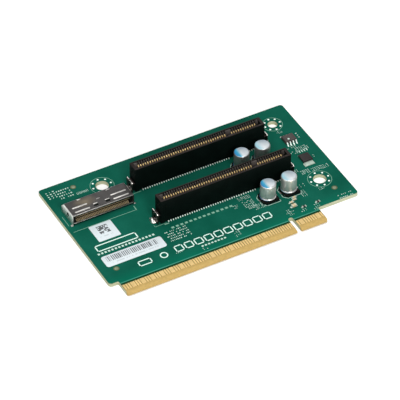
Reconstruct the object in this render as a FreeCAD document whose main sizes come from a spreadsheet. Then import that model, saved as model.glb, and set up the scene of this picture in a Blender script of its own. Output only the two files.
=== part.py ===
import FreeCAD, Part
import math
import os
import re
import Sketcher

# A two-slot PCI Express riser card: a routed board with a gold edge connector, two vertical
# eight-lane card slots, a shielded right-angle cable connector and the parts that feed them.
# Millimetres. The underside of the board lies at Z = 0 and the plan of the board is centred on the
# origin: +X runs along the edge connector towards contact 1, +Y runs away from it, +Z is up.

SIZES = {
    # Board
    "boardLength": 105.7,
    "boardDepth": 58.6,
    "boardThick": 1.57,
    "boardCorner": 1.2,
    "tongueHeight": 7.6,
    "tongueCorner": 0.8,
    "tongueRelief": 0.6,
    "keyToRightEnd": 29.9,
    "keyWidth": 1.9,
    "keyDepth": 7.6,
    "bevelLength": 1.25,
    "bevelDepth": 0.42,
    "maskEdge": 5.3,
    # Edge contacts, counted away from the key on each side of it
    "contactPitch": 1.0,
    "keyGap": 3.0,
    "shortCount": 11,
    "edgeLongCount": 71,
    "tongueMargin": 0.65,
    "padWidth": 0.7,
    "padStart": 2.3,
    "padEnd": 5.25,
    "padThick": 0.04,
    # Mounting holes
    "holeColumn": 20.9,
    "holeFarColumn": 53.0,
    "holeFrontRow": 21.3,
    "holeRearRow": 57.4,
    "largeHole": 5.1,
    "smallHole": 3.8,
    # Card slots
    "slotKey": 2.05,
    "slotFrontRow": 30.0,
    "slotPitch": 20.32,
    "slotLongCount": 38,
    "slotLongEnd": 3.2,
    "slotShortEnd": 2.6,
    "slotWidth": 4.8,
    "slotHeight": 11.0,
    "channelWidth": 1.8,
    "channelEnd": 1.55,
    "channelFloor": 2.6,
    "keyWeb": 1.7,
    "keyWebDrop": 1.4,
    "cavityWidth": 0.62,
    "cavityDepth": 0.9,
    "railGap": 0.1,
    "tailGap": 0.35,
    "slotContactWidth": 0.42,
    "slotContactThick": 0.2,
    "slotContactTip": 9.4,
    "slotContactPress": 0.35,
    "slotTail": 0.8,
    # Hold-down clips at the ends of the slots
    "earLength": 1.05,
    "earWidth": 4.0,
    "earBottom": 0.9,
    "earTop": 4.0,
    "clipWidth": 4.7,
    "clipHeight": 5.0,
    "clipThick": 0.3,
    "clipFoot": 1.1,
    # Cable connector
    "cableGap": 1.15,
    "cableFront": 42.15,
    "cableWidth": 25.6,
    "cableDepth": 10.15,
    "cableHeight": 4.9,
    "shellThick": 0.3,
    "shellTopDepth": 7.95,
    "shellRibLength": 6.4,
    "shellRibWidth": 0.6,
    "shellRibHeight": 0.22,
    "shellRibInset": 1.5,
    "shellRibFront": 1.2,
    "shellRibPitch": 2.4,
    "windowWidth": 1.9,
    "windowDepth": 1.0,
    "windowPitch": 5.0,
    "windowFront": 1.45,
    "shellHole": 0.9,
    "shellHoleFront": 3.8,
    "shellHoleUp": 2.4,
    "shellLegReach": 0.8,
    "shellLegWidth": 0.9,
    "mouthWidth": 23.2,
    "mouthHeight": 2.5,
    "mouthFloor": 1.1,
    "mouthDepth": 6.0,
    "cableSetBack": 0.5,
    # Polymer capacitors
    "canDiameter": 6.3,
    "canTop": 7.7,
    "canEdge": 0.45,
    "canSeat": 1.3,
    "canBase": 6.6,
    "canBaseCut": 1.3,
    "canPitch": 9.0,
    "canColumn": 1.75,
    "canSetOut": 8.95,
    "canTab": 0.7,
    "canTabReach": 0.55,
    "canTabThick": 0.25,
    # Eight-lead chip
    "soicColumn": 21.85,
    "soicRow": 46.3,
    "soicLength": 4.9,
    "soicWidth": 3.9,
    "soicHeight": 1.5,
    "soicStand": 0.15,
    "soicPitch": 1.27,
    "soicLeadCount": 4,
    "soicLeadWidth": 0.42,
    "soicLeadThick": 0.2,
    "soicReach": 1.05,
    "soicFoot": 0.6,
    # Power transistor
    "powerColumn": 22.0,
    "powerRow": 33.6,
    "powerLength": 4.2,
    "powerDepth": 4.9,
    "powerHeight": 1.1,
    "powerLeadThick": 0.25,
    "powerTabReach": 1.3,
    "powerLeadPitch": 1.0,
    "powerLeadCount": 4,
    "powerLeadWidth": 0.5,
    "powerLeadReach": 0.5,
    # Chip resistors and capacitors
    "largeChipLength": 2.0,
    "largeChipWidth": 1.25,
    "largeChipHeight": 0.9,
    "chipLength": 1.6,
    "chipWidth": 0.8,
    "chipHeight": 0.5,
    "chipCap": 0.3,
    "chip1Column": 4.6,
    "chip1Row": 12.5,
    "chip2Column": 4.8,
    "chip2Row": 14.7,
    "chip3Column": 7.1,
    "chip3Row": 16.75,
    "chip4Column": 6.55,
    "chip4Row": 15.6,
    "chip5Column": 7.8,
    "chip5Row": 10.4,
    "chip6Column": 13.7,
    "chip6Row": 10.35,
    # Labels
    "labelThick": 0.1,
    "squareLabel": 9.2,
    "squareLabelColumn": 63.9,
    "squareLabelRow": 34.3,
    "barLabelLength": 25.0,
    "barLabelWidth": 6.1,
    "barLabelColumn": 59.7,
    "barLabelRow": 19.0,
}

# Chip parts of each size
CHIPS = {"largeChip": ["chip1"], "chip": ["chip2", "chip3", "chip4", "chip5", "chip6"]}

# Ground contacts of the edge connector that share one wide pad with the next one.
JOINED_SHORT = [2, 9]
JOINED_LONG = [23, 27, 37, 41, 45, 54, 58, 62, 66, 70, 74, 78]

doc = FreeCAD.newDocument("PcieRiserCard")
sheet = doc.addObject("Spreadsheet::Sheet", "Sizes")
for row, (alias, value) in enumerate(SIZES.items(), start=1):
    sheet.set(f"A{row}", str(value))
    sheet.setAlias(f"A{row}", alias)
doc.recompute()


# Helpers

sameSpot = 1e-4


def inSheet(formula):
    """Points every size named in a formula at its cell."""
    def cell(word):
        return "Sizes." + word.group() if word.group() in SIZES else word.group()
    return re.sub(r"[A-Za-z]\w*", cell, formula)


def bind(thing, path, formula):
    thing.setExpression(path, inSheet(formula))


def addBody(label, x="0", y="0", z="0"):
    """A sub-part: one body, named after its node and placed by formulas."""
    body = doc.addObject("PartDesign::Body", label)
    body.Label = label
    body.AllowCompound = True
    for axis, formula in (("x", x), ("y", y), ("z", z)):
        bind(body, "Placement.Base." + axis, formula)
    return body


def originPart(body, role):
    return next(part for part in body.Origin.OriginFeatures if part.Role == role)


def addSketch(body, plane, height="0"):
    sketch = body.newObject("Sketcher::SketchObject", "Sketch")
    sketch.AttachmentSupport = [(originPart(body, plane), "")]
    sketch.MapMode = "FlatFace"
    bind(sketch, "AttachmentOffset.Base.z", height)
    return sketch


def drawLoop(sketch, points):
    """A closed outline of straight lines whose corners are fixed by formulas."""
    first = sketch.GeometryCount
    count = len(points)
    for index in range(count):
        ends = []
        for turn in (index, index + 1):
            angle = 2 * math.pi * turn / count
            ends.append(FreeCAD.Vector(math.cos(angle), math.sin(angle), 0))
        sketch.addGeometry(Part.LineSegment(*ends), False)
    for index in range(count):
        following = first + (index + 1) % count
        sketch.addConstraint(Sketcher.Constraint("Coincident", first + index, 2, following, 1))
    for index, corner in enumerate(points):
        for kind, formula in zip(("DistanceX", "DistanceY"), corner):
            place = sketch.addConstraint(Sketcher.Constraint(kind, -1, 1, first + index, 1, 0.5))
            bind(sketch, f"Constraints[{place}]", formula)


def drawBox(sketch, left, right, low, high):
    drawLoop(sketch, [(left, low), (right, low), (right, high), (left, high)])


def drawCircle(sketch, x, y, radius):
    index = sketch.addGeometry(Part.Circle(FreeCAD.Vector(1, 1, 0), FreeCAD.Vector(0, 0, 1), 1), False)
    for kind, formula in (("DistanceX", x), ("DistanceY", y)):
        place = sketch.addConstraint(Sketcher.Constraint(kind, -1, 1, index, 3, 0.5))
        bind(sketch, f"Constraints[{place}]", formula)
    place = sketch.addConstraint(Sketcher.Constraint("Radius", index, 1.0))
    bind(sketch, f"Constraints[{place}]", radius)


def addPad(body, sketch, length, both=False):
    pad = body.newObject("PartDesign::Pad", "Pad")
    pad.Profile = sketch
    pad.Midplane = both
    bind(pad, "Length", length)
    return pad


def addPocket(body, sketch, depth, upward=False):
    """Cuts down from the sketch, or up from it, to a depth."""
    pocket = body.newObject("PartDesign::Pocket", "Pocket")
    pocket.Profile = sketch
    pocket.Reversed = upward
    bind(pocket, "Length", depth)
    return pocket


def cutThrough(body, sketch):
    pocket = body.newObject("PartDesign::Pocket", "Pocket")
    pocket.Profile = sketch
    pocket.Type = "ThroughAll"
    pocket.Midplane = True
    return pocket


def repeatAlong(body, feature, axis, pitch, count, backwards=False):
    row = body.newObject("PartDesign::LinearPattern", "Row")
    row.Originals = [feature]
    row.Direction = (originPart(body, axis), [""])
    row.Reversed = backwards
    bind(row, "Length", f"({count} - 1) * {pitch}")
    bind(row, "Occurrences", count)
    body.Tip = row
    return row


def addDressUp(body, kind, base, edges, size):
    """A fillet or a chamfer on the named edges of the last feature."""
    dressing = body.newObject("PartDesign::" + kind, kind)
    dressing.Base = (base, edges)
    bind(dressing, "Radius" if kind == "Fillet" else "Size", size)
    return dressing


def edgesWhere(feature, test):
    return [f"Edge{number}" for number, edge in enumerate(feature.Shape.Edges, start=1) if test(edge)]


def near(first, second):
    """Whether two places are the same in plan."""
    return abs(first[0] - second[0]) + abs(first[1] - second[1]) < sameSpot


def isUpright(edge):
    points = [vertex.Point for vertex in edge.Vertexes]
    return len(points) > 1 and near(points[0], points[1])


# Places that several pieces share, as formulas in the sheet's sizes

cardDepth = "(boardDepth + tongueHeight)"
rightEnd = "boardLength / 2"
keyX = "(boardLength / 2 - keyToRightEnd)"
tipY = f"(0 - {cardDepth} / 2)"
shoulderY = f"({tipY} + tongueHeight)"
rearY = f"{cardDepth} / 2"
shortReach = "(keyGap / 2 + (shortCount - 1) * contactPitch)"
edgeReach = "(keyGap / 2 + (edgeLongCount - 1) * contactPitch)"
slotReach = "(keyGap / 2 + (slotLongCount - 1) * contactPitch)"
slotLeft = f"(0 - {slotReach} - slotLongEnd)"
slotRight = f"({shortReach} + slotShortEnd)"
slotX = f"{keyX} - slotKey"
cavityBack = "(channelWidth / 2 + cavityDepth)"
clipReach = "(earLength + clipThick + clipFoot)"
cableX = f"{slotX} + {slotLeft} - {clipReach} - cableGap - cableWidth / 2"
cableY = f"{tipY} + cableFront"


# Board

def makeBoard():
    body = addBody("pcb")
    outline = addSketch(body, "XY_Plane")
    left = f"0 - {rightEnd}"
    tongueLeft = f"{keyX} - {edgeReach} - tongueMargin"
    tongueRight = f"{keyX} + {shortReach} + tongueMargin"
    drawLoop(outline, [
        (left, shoulderY), (tongueLeft, shoulderY), (tongueLeft, tipY), (tongueRight, tipY),
        (tongueRight, shoulderY), (rightEnd, shoulderY), (rightEnd, rearY), (left, rearY)])
    slab = addPad(body, outline, "boardThick")
    doc.recompute()

    # The router leaves every corner of the outline round.
    box = slab.Shape.BoundBox
    shoulder = box.YMin + SIZES["tongueHeight"]

    def atPlace(edge, places):
        return isUpright(edge) and any(near(edge.Vertexes[0].Point, place) for place in places)

    tips = {vertex.X for vertex in slab.Shape.Vertexes if abs(vertex.Y - box.YMin) < sameSpot}
    outer = [(x, y) for x in (box.XMin, box.XMax) for y in (shoulder, box.YMax)]
    rounded = addDressUp(body, "Fillet", slab, edgesWhere(slab, lambda edge: atPlace(edge, outer)), "boardCorner")
    doc.recompute()
    corners = [(x, box.YMin) for x in tips]
    rounded = addDressUp(
        body, "Fillet", rounded, edgesWhere(rounded, lambda edge: atPlace(edge, corners)), "tongueCorner")
    doc.recompute()
    roots = [(x, shoulder) for x in tips]
    addDressUp(body, "Fillet", rounded, edgesWhere(rounded, lambda edge: atPlace(edge, roots)), "tongueRelief")

    # Key notch with a round top
    notch = addSketch(body, "XY_Plane")
    notchTop = f"{tipY} + keyDepth - keyWidth / 2"
    drawBox(notch, f"{keyX} - keyWidth / 2", f"{keyX} + keyWidth / 2", f"{tipY} - keyWidth", notchTop)
    cutThrough(body, notch)
    notchRound = addSketch(body, "XY_Plane")
    drawCircle(notchRound, keyX, notchTop, "keyWidth / 2")
    cutThrough(body, notchRound)

    holes = addSketch(body, "XY_Plane")
    drawCircle(holes, f"{keyX} + holeColumn", f"{tipY} + holeRearRow", "smallHole / 2")
    drawCircle(holes, f"{keyX} + holeColumn", f"{tipY} + holeFrontRow", "largeHole / 2")
    drawCircle(holes, f"{keyX} - holeFarColumn", f"{tipY} + holeRearRow", "largeHole / 2")
    cutThrough(body, holes)

    # The lacquer stops short of the contacts, so the bare tongue is thinner by a pad on each side.
    for height, upward in (("boardThick", False), ("0", True)):
        bare = addSketch(body, "XY_Plane", height)
        drawBox(bare, f"{tongueLeft} - tongueMargin", f"{tongueRight} + tongueMargin",
                f"{tipY} - tongueMargin", f"{tipY} + maskEdge")
        addPocket(body, bare, "padThick", upward)

    # Bevels that lead the tongue into its socket
    bevel = addSketch(body, "YZ_Plane")
    over = f"{tipY} - bevelLength"
    drawLoop(bevel, [(over, "boardThick + bevelDepth"), (over, "boardThick - padThick - 2 * bevelDepth"),
                     (f"{tipY} + bevelLength", "boardThick - padThick"),
                     (f"{tipY} + bevelLength", "boardThick + bevelDepth")])
    drawLoop(bevel, [(over, "0 - bevelDepth"), (over, "padThick + 2 * bevelDepth"),
                     (f"{tipY} + bevelLength", "padThick"), (f"{tipY} + bevelLength", "0 - bevelDepth")])
    cutThrough(body, bevel)


def makeEdgeContacts(label, base):
    """One gold pad per contact, on a long and a short run beside the key. Neighbouring grounds share
    a wide pad."""
    body = addBody(label, x=keyX, y=tipY, z=base)
    for run, side, joints in (("shortCount", "", JOINED_SHORT), ("edgeLongCount", "0 - ", JOINED_LONG)):
        sketch = addSketch(body, "XY_Plane")
        centre = f"{side}keyGap / 2"
        drawBox(sketch, f"{centre} - padWidth / 2", f"{centre} + padWidth / 2", "padStart", "padEnd")
        pad = addPad(body, sketch, "padThick")
        repeatAlong(body, pad, "X_Axis", "contactPitch", run, backwards=side != "")
        bridges = addSketch(body, "XY_Plane")
        for contact in joints:
            fromKey = f"({contact} - shortCount - 0.5)" if side else f"(shortCount - {contact} - 0.5)"
            middle = f"{side}(keyGap / 2 + {fromKey} * contactPitch)"
            drawBox(bridges, f"{middle} - contactPitch / 2", f"{middle} + contactPitch / 2",
                    "padStart", "padEnd")
        addPad(body, bridges, "padThick")


# Card slots

def makeSlotHousing(label, row):
    """The moulding: a card channel between two combs of contact cavities, with an ear at each end."""
    body = addBody(label, x=slotX, y=row, z="boardThick")
    outline = addSketch(body, "XY_Plane")
    drawBox(outline, slotLeft, slotRight, "0 - slotWidth / 2", "slotWidth / 2")
    addPad(body, outline, "slotHeight")

    # The channel takes the card edge. A lower web stands in its key notch.
    channel = addSketch(body, "XY_Plane", "slotHeight")
    half = "channelWidth / 2"
    drawBox(channel, f"0 - {slotReach} - channelEnd", "0 - keyWeb / 2", f"0 - {half}", half)
    drawBox(channel, "keyWeb / 2", f"{shortReach} + channelEnd", f"0 - {half}", half)
    addPocket(body, channel, "slotHeight - channelFloor")
    web = addSketch(body, "XY_Plane", "slotHeight")
    drawBox(web, "0 - keyWeb", "keyWeb", f"0 - {half}", half)
    addPocket(body, web, "keyWebDrop")

    # Under the channel a rail stands on the board, with a trench for the tails on each side of it
    # and a gap under each wall where they come out.
    runLeft = f"0 - {slotReach} - contactPitch / 2"
    runRight = f"{shortReach} + contactPitch / 2"
    trench = addSketch(body, "XY_Plane")
    gap = addSketch(body, "XY_Plane")
    for side in ("", "0 - "):
        rail = f"{side}(channelWidth / 2 - railGap)"
        drawBox(trench, runLeft, runRight, rail, f"{side}{cavityBack}")
        drawBox(gap, runLeft, runRight, f"{side}{cavityBack}", f"{side}slotWidth")
    addPocket(body, trench, "channelFloor", upward=True)
    addPocket(body, gap, "tailGap", upward=True)

    # A cavity behind each contact, with a rib between neighbours
    for run, side in (("shortCount", ""), ("slotLongCount", "0 - ")):
        cavity = addSketch(body, "XY_Plane", "slotHeight")
        centre = f"{side}keyGap / 2"
        drawBox(cavity, f"{centre} - cavityWidth / 2", f"{centre} + cavityWidth / 2",
                f"0 - {cavityBack}", cavityBack)
        pocket = addPocket(body, cavity, "slotHeight - channelFloor")
        repeatAlong(body, pocket, "X_Axis", "contactPitch", run, backwards=side != "")

    ears = addSketch(body, "XY_Plane", "earBottom")
    drawBox(ears, f"{slotLeft} - earLength", slotLeft, "0 - earWidth / 2", "earWidth / 2")
    drawBox(ears, slotRight, f"{slotRight} + earLength", "0 - earWidth / 2", "earWidth / 2")
    addPad(body, ears, "earTop - earBottom")


def makeSlotContacts(label, row, side):
    """A row of sprung contacts: each tail lies on the board, and its beam rises out of the trench and
    leans out of its cavity into the channel."""
    body = addBody(label, x=slotX, y=row, z="boardThick")
    heel = "(channelWidth / 2 + cavityDepth / 3)"
    press = "(channelWidth / 2 - slotContactPress)"
    toe = "(slotWidth / 2 + slotTail)"
    for run, backwards in (("shortCount", False), ("slotLongCount", True)):
        sketch = addSketch(body, "YZ_Plane", "0 - keyGap / 2" if backwards else "keyGap / 2")
        corners = [
            (toe, "0"), (heel, "0"), (press, "slotContactTip"), (f"{press} + slotContactThick", "slotContactTip"),
            (f"{heel} + slotContactThick", "slotContactThick"), (toe, "slotContactThick")]
        drawLoop(sketch, [(f"{side}({across})", up) for across, up in corners])
        pad = addPad(body, sketch, "slotContactWidth", both=True)
        repeatAlong(body, pad, "X_Axis", "contactPitch", run, backwards=backwards)


def makeHoldDown(label, row, end, outward):
    """A bent clip behind the ear: its foot is soldered to the board."""
    body = addBody(label, x=slotX, y=row, z="boardThick")
    sketch = addSketch(body, "XZ_Plane")
    face = f"{end} {outward} earLength"
    back = f"{face} {outward} clipThick"
    toe = f"{back} {outward} clipFoot"
    drawLoop(sketch, [(face, "0"), (toe, "0"), (toe, "clipThick"), (back, "clipThick"),
                      (back, "clipHeight"), (face, "clipHeight")])
    addPad(body, sketch, "clipWidth", both=True)


def makeSlot(name, row):
    makeSlotHousing(f"{name}_housing", row)
    makeSlotContacts(f"{name}_front_contacts", row, "0 - ")
    makeSlotContacts(f"{name}_rear_contacts", row, "")
    makeHoldDown(f"{name}_left_hold_down", row, slotLeft, "-")
    makeHoldDown(f"{name}_right_hold_down", row, slotRight, "+")


# Cable connector

def makeCableShell():
    """A folded sheet: a top plate with two side walls, stiffening ribs and latch windows."""
    body = addBody("cable_connector_shell", x=cableX, y=cableY, z="boardThick")
    half = "cableWidth / 2"
    inner = "(cableWidth / 2 - shellThick)"
    under = "cableHeight - shellThick"
    plate = addSketch(body, "XZ_Plane")
    drawLoop(plate, [(f"0 - {half}", "0"), (f"0 - {inner}", "0"), (f"0 - {inner}", under), (inner, under),
                     (inner, "0"), (half, "0"), (half, "cableHeight"), (f"0 - {half}", "cableHeight")])
    fold = addPad(body, plate, "cableDepth")
    fold.Reversed = True

    # The rear of the sheet slopes down to the back of the moulding.
    slope = addSketch(body, "YZ_Plane")
    drawLoop(slope, [("shellTopDepth", "cableHeight"), ("cableDepth", "cableHeight - (cableDepth - shellTopDepth)"),
                     ("cableDepth + shellThick", "cableHeight - (cableDepth - shellTopDepth)"),
                     ("cableDepth + shellThick", "cableHeight + shellThick"),
                     ("shellTopDepth", "cableHeight + shellThick")])
    cutThrough(body, slope)

    windows = addSketch(body, "XY_Plane", "cableHeight")
    for side in ("0 - ", ""):
        centre = f"{side}windowPitch / 2"
        drawBox(windows, f"{centre} - windowWidth / 2", f"{centre} + windowWidth / 2",
                "windowFront", "windowFront + windowDepth")
    addPocket(body, windows, "2 * shellThick")

    sideHoles = addSketch(body, "YZ_Plane")
    drawBox(sideHoles, "shellHoleFront", "shellHoleFront + shellHole", "shellHoleUp", "shellHoleUp + shellHole")
    cutThrough(body, sideHoles)

    ribs = addSketch(body, "XY_Plane", "cableHeight")
    for side in ("0 - ", ""):
        for row in (0, 1):
            near = f"{side}({half} - shellRibInset)"
            far = f"{side}({half} - shellRibInset - shellRibLength)"
            start = f"(shellRibFront + {row} * shellRibPitch)"
            drawBox(ribs, near, far, start, f"{start} + shellRibWidth")
    addPad(body, ribs, "shellRibHeight")

    legs = addSketch(body, "XY_Plane")
    for side in ("0 - ", ""):
        drawBox(legs, f"{side}{half}", f"{side}({half} + shellLegReach)", "0", "shellLegWidth")
    addPad(body, legs, "shellThick")


def makeCableMoulding():
    """The moulding inside the shell: the mouth takes the cable's paddle card."""
    body = addBody("cable_connector_moulding", x=cableX, y=cableY, z="boardThick")
    half = "(cableWidth / 2 - shellThick)"
    top = "(cableHeight - shellThick)"
    sketch = addSketch(body, "YZ_Plane")
    slopeStart = "(shellTopDepth - shellThick)"
    drawLoop(sketch, [("cableSetBack", "0"), ("cableDepth - shellThick", "0"),
                      ("cableDepth - shellThick", f"{top} - (cableDepth - shellTopDepth)"),
                      (slopeStart, top), ("cableSetBack", top)])
    addPad(body, sketch, f"2 * {half}", both=True)
    mouth = addSketch(body, "XZ_Plane", "0 - cableSetBack")
    drawBox(mouth, "0 - mouthWidth / 2", "mouthWidth / 2", "mouthFloor", "mouthFloor + mouthHeight")
    addPocket(body, mouth, "mouthDepth")


# Other parts

def makeCapacitor(number, x, y):
    name = f"capacitor_{number}"
    can = addBody(f"{name}_can", x=x, y=y, z="boardThick")
    profile = addSketch(can, "XZ_Plane")
    drawLoop(profile, [("0", "canSeat"), ("canDiameter / 2", "canSeat"), ("canDiameter / 2", "canTop - canEdge"),
                       ("canDiameter / 2 - canEdge", "canTop"), ("0", "canTop")])
    turned = can.newObject("PartDesign::Revolution", "Revolution")
    turned.Profile = profile
    turned.ReferenceAxis = (profile, ["V_Axis"])
    turned.Angle = 360

    base = addBody(f"{name}_base", x=x, y=y, z="boardThick")
    plate = addSketch(base, "XY_Plane")
    half = "canBase / 2"
    cut = "(canBase / 2 - canBaseCut)"
    drawLoop(plate, [(f"0 - {cut}", f"0 - {half}"), (half, f"0 - {half}"), (half, half), (f"0 - {cut}", half),
                     (f"0 - {half}", cut), (f"0 - {half}", f"0 - {cut}")])
    addPad(base, plate, "canSeat")
    notch = addSketch(base, "XY_Plane")
    drawBox(notch, f"0 - {half} - canTabReach", f"{half} + canTabReach", "0 - canTab / 2", "canTab / 2")
    addPocket(base, notch, "canTabThick", upward=True)

    tabs = addBody(f"{name}_tabs", x=x, y=y, z="boardThick")
    for side in ("0 - ", ""):
        strip = addSketch(tabs, "XY_Plane")
        drawBox(strip, f"{side}canTab / 2", f"{side}({half} + canTabReach)", "0 - canTab / 2", "canTab / 2")
        addPad(tabs, strip, "canTabThick")


def makeEightLeadChip():
    x = f"{keyX} + soicColumn"
    y = f"{tipY} + soicRow"
    moulding = addBody("driver_chip_body", x=x, y=y, z="boardThick")
    sketch = addSketch(moulding, "XY_Plane", "soicStand")
    drawBox(sketch, "0 - soicLength / 2", "soicLength / 2", "0 - soicWidth / 2", "soicWidth / 2")
    addPad(moulding, sketch, "soicHeight - soicStand")
    leads = addBody("driver_chip_leads", x=x, y=y, z="boardThick")
    for side in ("0 - ", ""):
        lead = addSketch(leads, "YZ_Plane", "0 - (soicLeadCount - 1) * soicPitch / 2")
        root = "soicWidth / 2"
        knee = "(soicWidth / 2 + soicReach - soicFoot)"
        toe = "(soicWidth / 2 + soicReach)"
        high = "(soicHeight / 2)"
        corners = [(root, high), (f"{knee} - soicLeadThick", high), (f"{knee} - soicLeadThick", "0"),
                   (toe, "0"), (toe, "soicLeadThick"), (knee, "soicLeadThick"),
                   (knee, f"{high} + soicLeadThick"), (root, f"{high} + soicLeadThick")]
        drawLoop(lead, [(f"{side}({across})", up) for across, up in corners])
        pad = addPad(leads, lead, "soicLeadWidth", both=True)
        repeatAlong(leads, pad, "X_Axis", "soicPitch", "soicLeadCount")


def makePowerTransistor():
    x = f"{keyX} + powerColumn"
    y = f"{tipY} + powerRow"
    moulding = addBody("power_transistor_body", x=x, y=y, z="boardThick")
    sketch = addSketch(moulding, "XY_Plane", "powerLeadThick")
    drawBox(sketch, "0 - powerLength / 2", "powerLength / 2", "0 - powerDepth / 2", "powerDepth / 2")
    addPad(moulding, sketch, "powerHeight - powerLeadThick")
    frame = addBody("power_transistor_leads", x=x, y=y, z="boardThick")
    tab = addSketch(frame, "XY_Plane")
    drawBox(tab, "powerLeadThick - powerLength / 2", "powerLength / 2 - powerLeadThick",
            "0 - powerDepth / 2 - powerTabReach", "0 - powerDepth / 4")
    addPad(frame, tab, "powerLeadThick")
    lead = addSketch(frame, "XY_Plane")
    first = "0 - (powerLeadCount - 1) * powerLeadPitch / 2"
    drawBox(lead, f"{first} - powerLeadWidth / 2", f"{first} + powerLeadWidth / 2",
            "powerDepth / 4", "powerDepth / 2 + powerLeadReach")
    pad = addPad(frame, lead, "powerLeadThick")
    repeatAlong(frame, pad, "X_Axis", "powerLeadPitch", "powerLeadCount")


def makeChips():
    bodies = addBody("chip_part_bodies", x=keyX, y=tipY, z="boardThick")
    caps = addBody("chip_part_end_caps", x=keyX, y=tipY, z="boardThick")
    for kind, chips in CHIPS.items():
        middles = addSketch(bodies, "XY_Plane")
        ends = addSketch(caps, "XY_Plane")
        half = f"{kind}Length / 2"
        inner = f"({half} - chipCap)"
        for chip in chips:
            x = f"{chip}Column"
            across = (f"{chip}Row - {kind}Width / 2", f"{chip}Row + {kind}Width / 2")
            drawBox(middles, f"{x} - {inner}", f"{x} + {inner}", *across)
            drawBox(ends, f"{x} - {half}", f"{x} - {inner}", *across)
            drawBox(ends, f"{x} + {inner}", f"{x} + {half}", *across)
        addPad(bodies, middles, f"{kind}Height")
        addPad(caps, ends, f"{kind}Height")


def makeLabel(label, column, row, length, width):
    body = addBody(label, x=f"{keyX} - {column}", y=f"{tipY} + {row}", z="boardThick")
    sketch = addSketch(body, "XY_Plane")
    drawBox(sketch, f"0 - {length} / 2", f"{length} / 2", f"0 - {width} / 2", f"{width} / 2")
    addPad(body, sketch, "labelThick")


makeBoard()
makeEdgeContacts("edge_contacts_upper", "boardThick - padThick")
makeEdgeContacts("edge_contacts_lower", "0")
frontRow = f"{tipY} + slotFrontRow"
rearRow = f"{frontRow} + slotPitch"
makeSlot("front_slot", frontRow)
makeSlot("rear_slot", rearRow)
makeCableShell()
makeCableMoulding()
for number, (slotRow, place) in enumerate(
        ((rearRow, 0), (rearRow, 1), (frontRow, 0), (frontRow, 1)), start=1):
    makeCapacitor(number, f"{keyX} - canColumn + {place} * canPitch", f"{slotRow} - canSetOut")
makeEightLeadChip()
makePowerTransistor()
makeChips()
makeLabel("square_label", "squareLabelColumn", "squareLabelRow", "squareLabel", "squareLabel")
makeLabel("bar_label", "barLabelColumn", "barLabelRow", "barLabelLength", "barLabelWidth")

doc.recompute()
for thing in doc.Objects:
    if "Invalid" in thing.State or "Error" in thing.State:
        raise RuntimeError(f"{thing.Label} did not build: {thing.State}")
subParts = [thing for thing in doc.Objects if thing.TypeId == "PartDesign::Body"]
for part in subParts:
    if part.Shape.isNull() or not part.Shape.isValid() or not part.Shape.Solids:
        raise RuntimeError(f"{part.Label} is not a sound solid")
os.makedirs("parts", exist_ok=True)
for part in subParts:
    part.Shape.exportStep(f"parts/{part.Label}.step")
    print(part.Label, len(part.Shape.Solids), round(part.Shape.Volume, 2))
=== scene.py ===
import bpy
import bmesh
import math
from mathutils import Matrix, Vector


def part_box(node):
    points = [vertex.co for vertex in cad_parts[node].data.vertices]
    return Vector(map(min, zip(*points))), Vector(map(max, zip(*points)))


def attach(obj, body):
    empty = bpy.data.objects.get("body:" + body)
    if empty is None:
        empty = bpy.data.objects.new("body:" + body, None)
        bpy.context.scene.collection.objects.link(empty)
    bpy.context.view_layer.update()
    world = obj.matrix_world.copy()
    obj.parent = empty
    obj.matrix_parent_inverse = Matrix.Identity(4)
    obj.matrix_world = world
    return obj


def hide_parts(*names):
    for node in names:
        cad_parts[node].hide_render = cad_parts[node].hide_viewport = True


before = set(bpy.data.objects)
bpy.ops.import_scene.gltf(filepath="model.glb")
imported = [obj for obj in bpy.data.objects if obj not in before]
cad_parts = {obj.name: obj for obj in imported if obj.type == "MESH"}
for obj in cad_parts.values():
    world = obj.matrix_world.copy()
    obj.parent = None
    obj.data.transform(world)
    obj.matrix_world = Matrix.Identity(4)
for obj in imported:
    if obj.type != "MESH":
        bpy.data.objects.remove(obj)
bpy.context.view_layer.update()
mm = 0.001
print("frame loaded:", len(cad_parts), "nodes")


# Everything is placed from the key of the edge connector, the tip of its tongue and the board's top.
edgeRow = {"pitch": 1.0, "keyGap": 3.0, "short": 11, "long": 71, "padWidth": 0.7}
boardLow, boardHigh = (Vector(corner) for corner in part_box("pcb"))
boardThick = (boardHigh.z - boardLow.z) / mm
edgeReach = edgeRow["keyGap"] / 2 + (edgeRow["short"] - 1) * edgeRow["pitch"] + edgeRow["padWidth"] / 2
origin = Vector((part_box("edge_contacts_upper")[1][0] - edgeReach * mm, boardLow.y, boardHigh.z))
toFrame = Matrix.Translation(origin) @ Matrix.Scale(mm, 4)


def boxOnBoard(node):
    # a node's corners in millimetres right of the key, back from the tongue's tip and up from the board
    return tuple((Vector(corner) - origin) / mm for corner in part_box(node))


# Shapes are drawn in those millimetres, and scaled into the frame as the piece is finished.

def addBlock(bm, first, second):
    # a box between two opposite corners
    low = [min(pair) for pair in zip(first, second)]
    high = [max(pair) for pair in zip(first, second)]
    corners = [bm.verts.new((x, y, z)) for z in (low[2], high[2]) for y in (low[1], high[1])
               for x in (low[0], high[0])]
    for loop in ((0, 2, 3, 1), (4, 5, 7, 6), (0, 1, 5, 4), (2, 6, 7, 3), (0, 4, 6, 2), (1, 3, 7, 5)):
        bm.faces.new([corners[index] for index in loop])


def addPrism(bm, outline, place, start, end):
    # a closed outline pushed from start to end, where place(a, b, along) gives the point
    rings = [[bm.verts.new(place(a, b, along)) for a, b in outline] for along in (start, end)]
    count = len(outline)
    for index in range(count):
        after = (index + 1) % count
        bm.faces.new((rings[0][index], rings[0][after], rings[1][after], rings[1][index]))
    bm.faces.new(rings[0][::-1])
    bm.faces.new(rings[1])


def onPlan(a, b, along):
    return (a, b, along)


def acrossSlot(a, b, along):
    # outline drawn front to back and up, pushed along X
    return (along, a, b)


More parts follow.
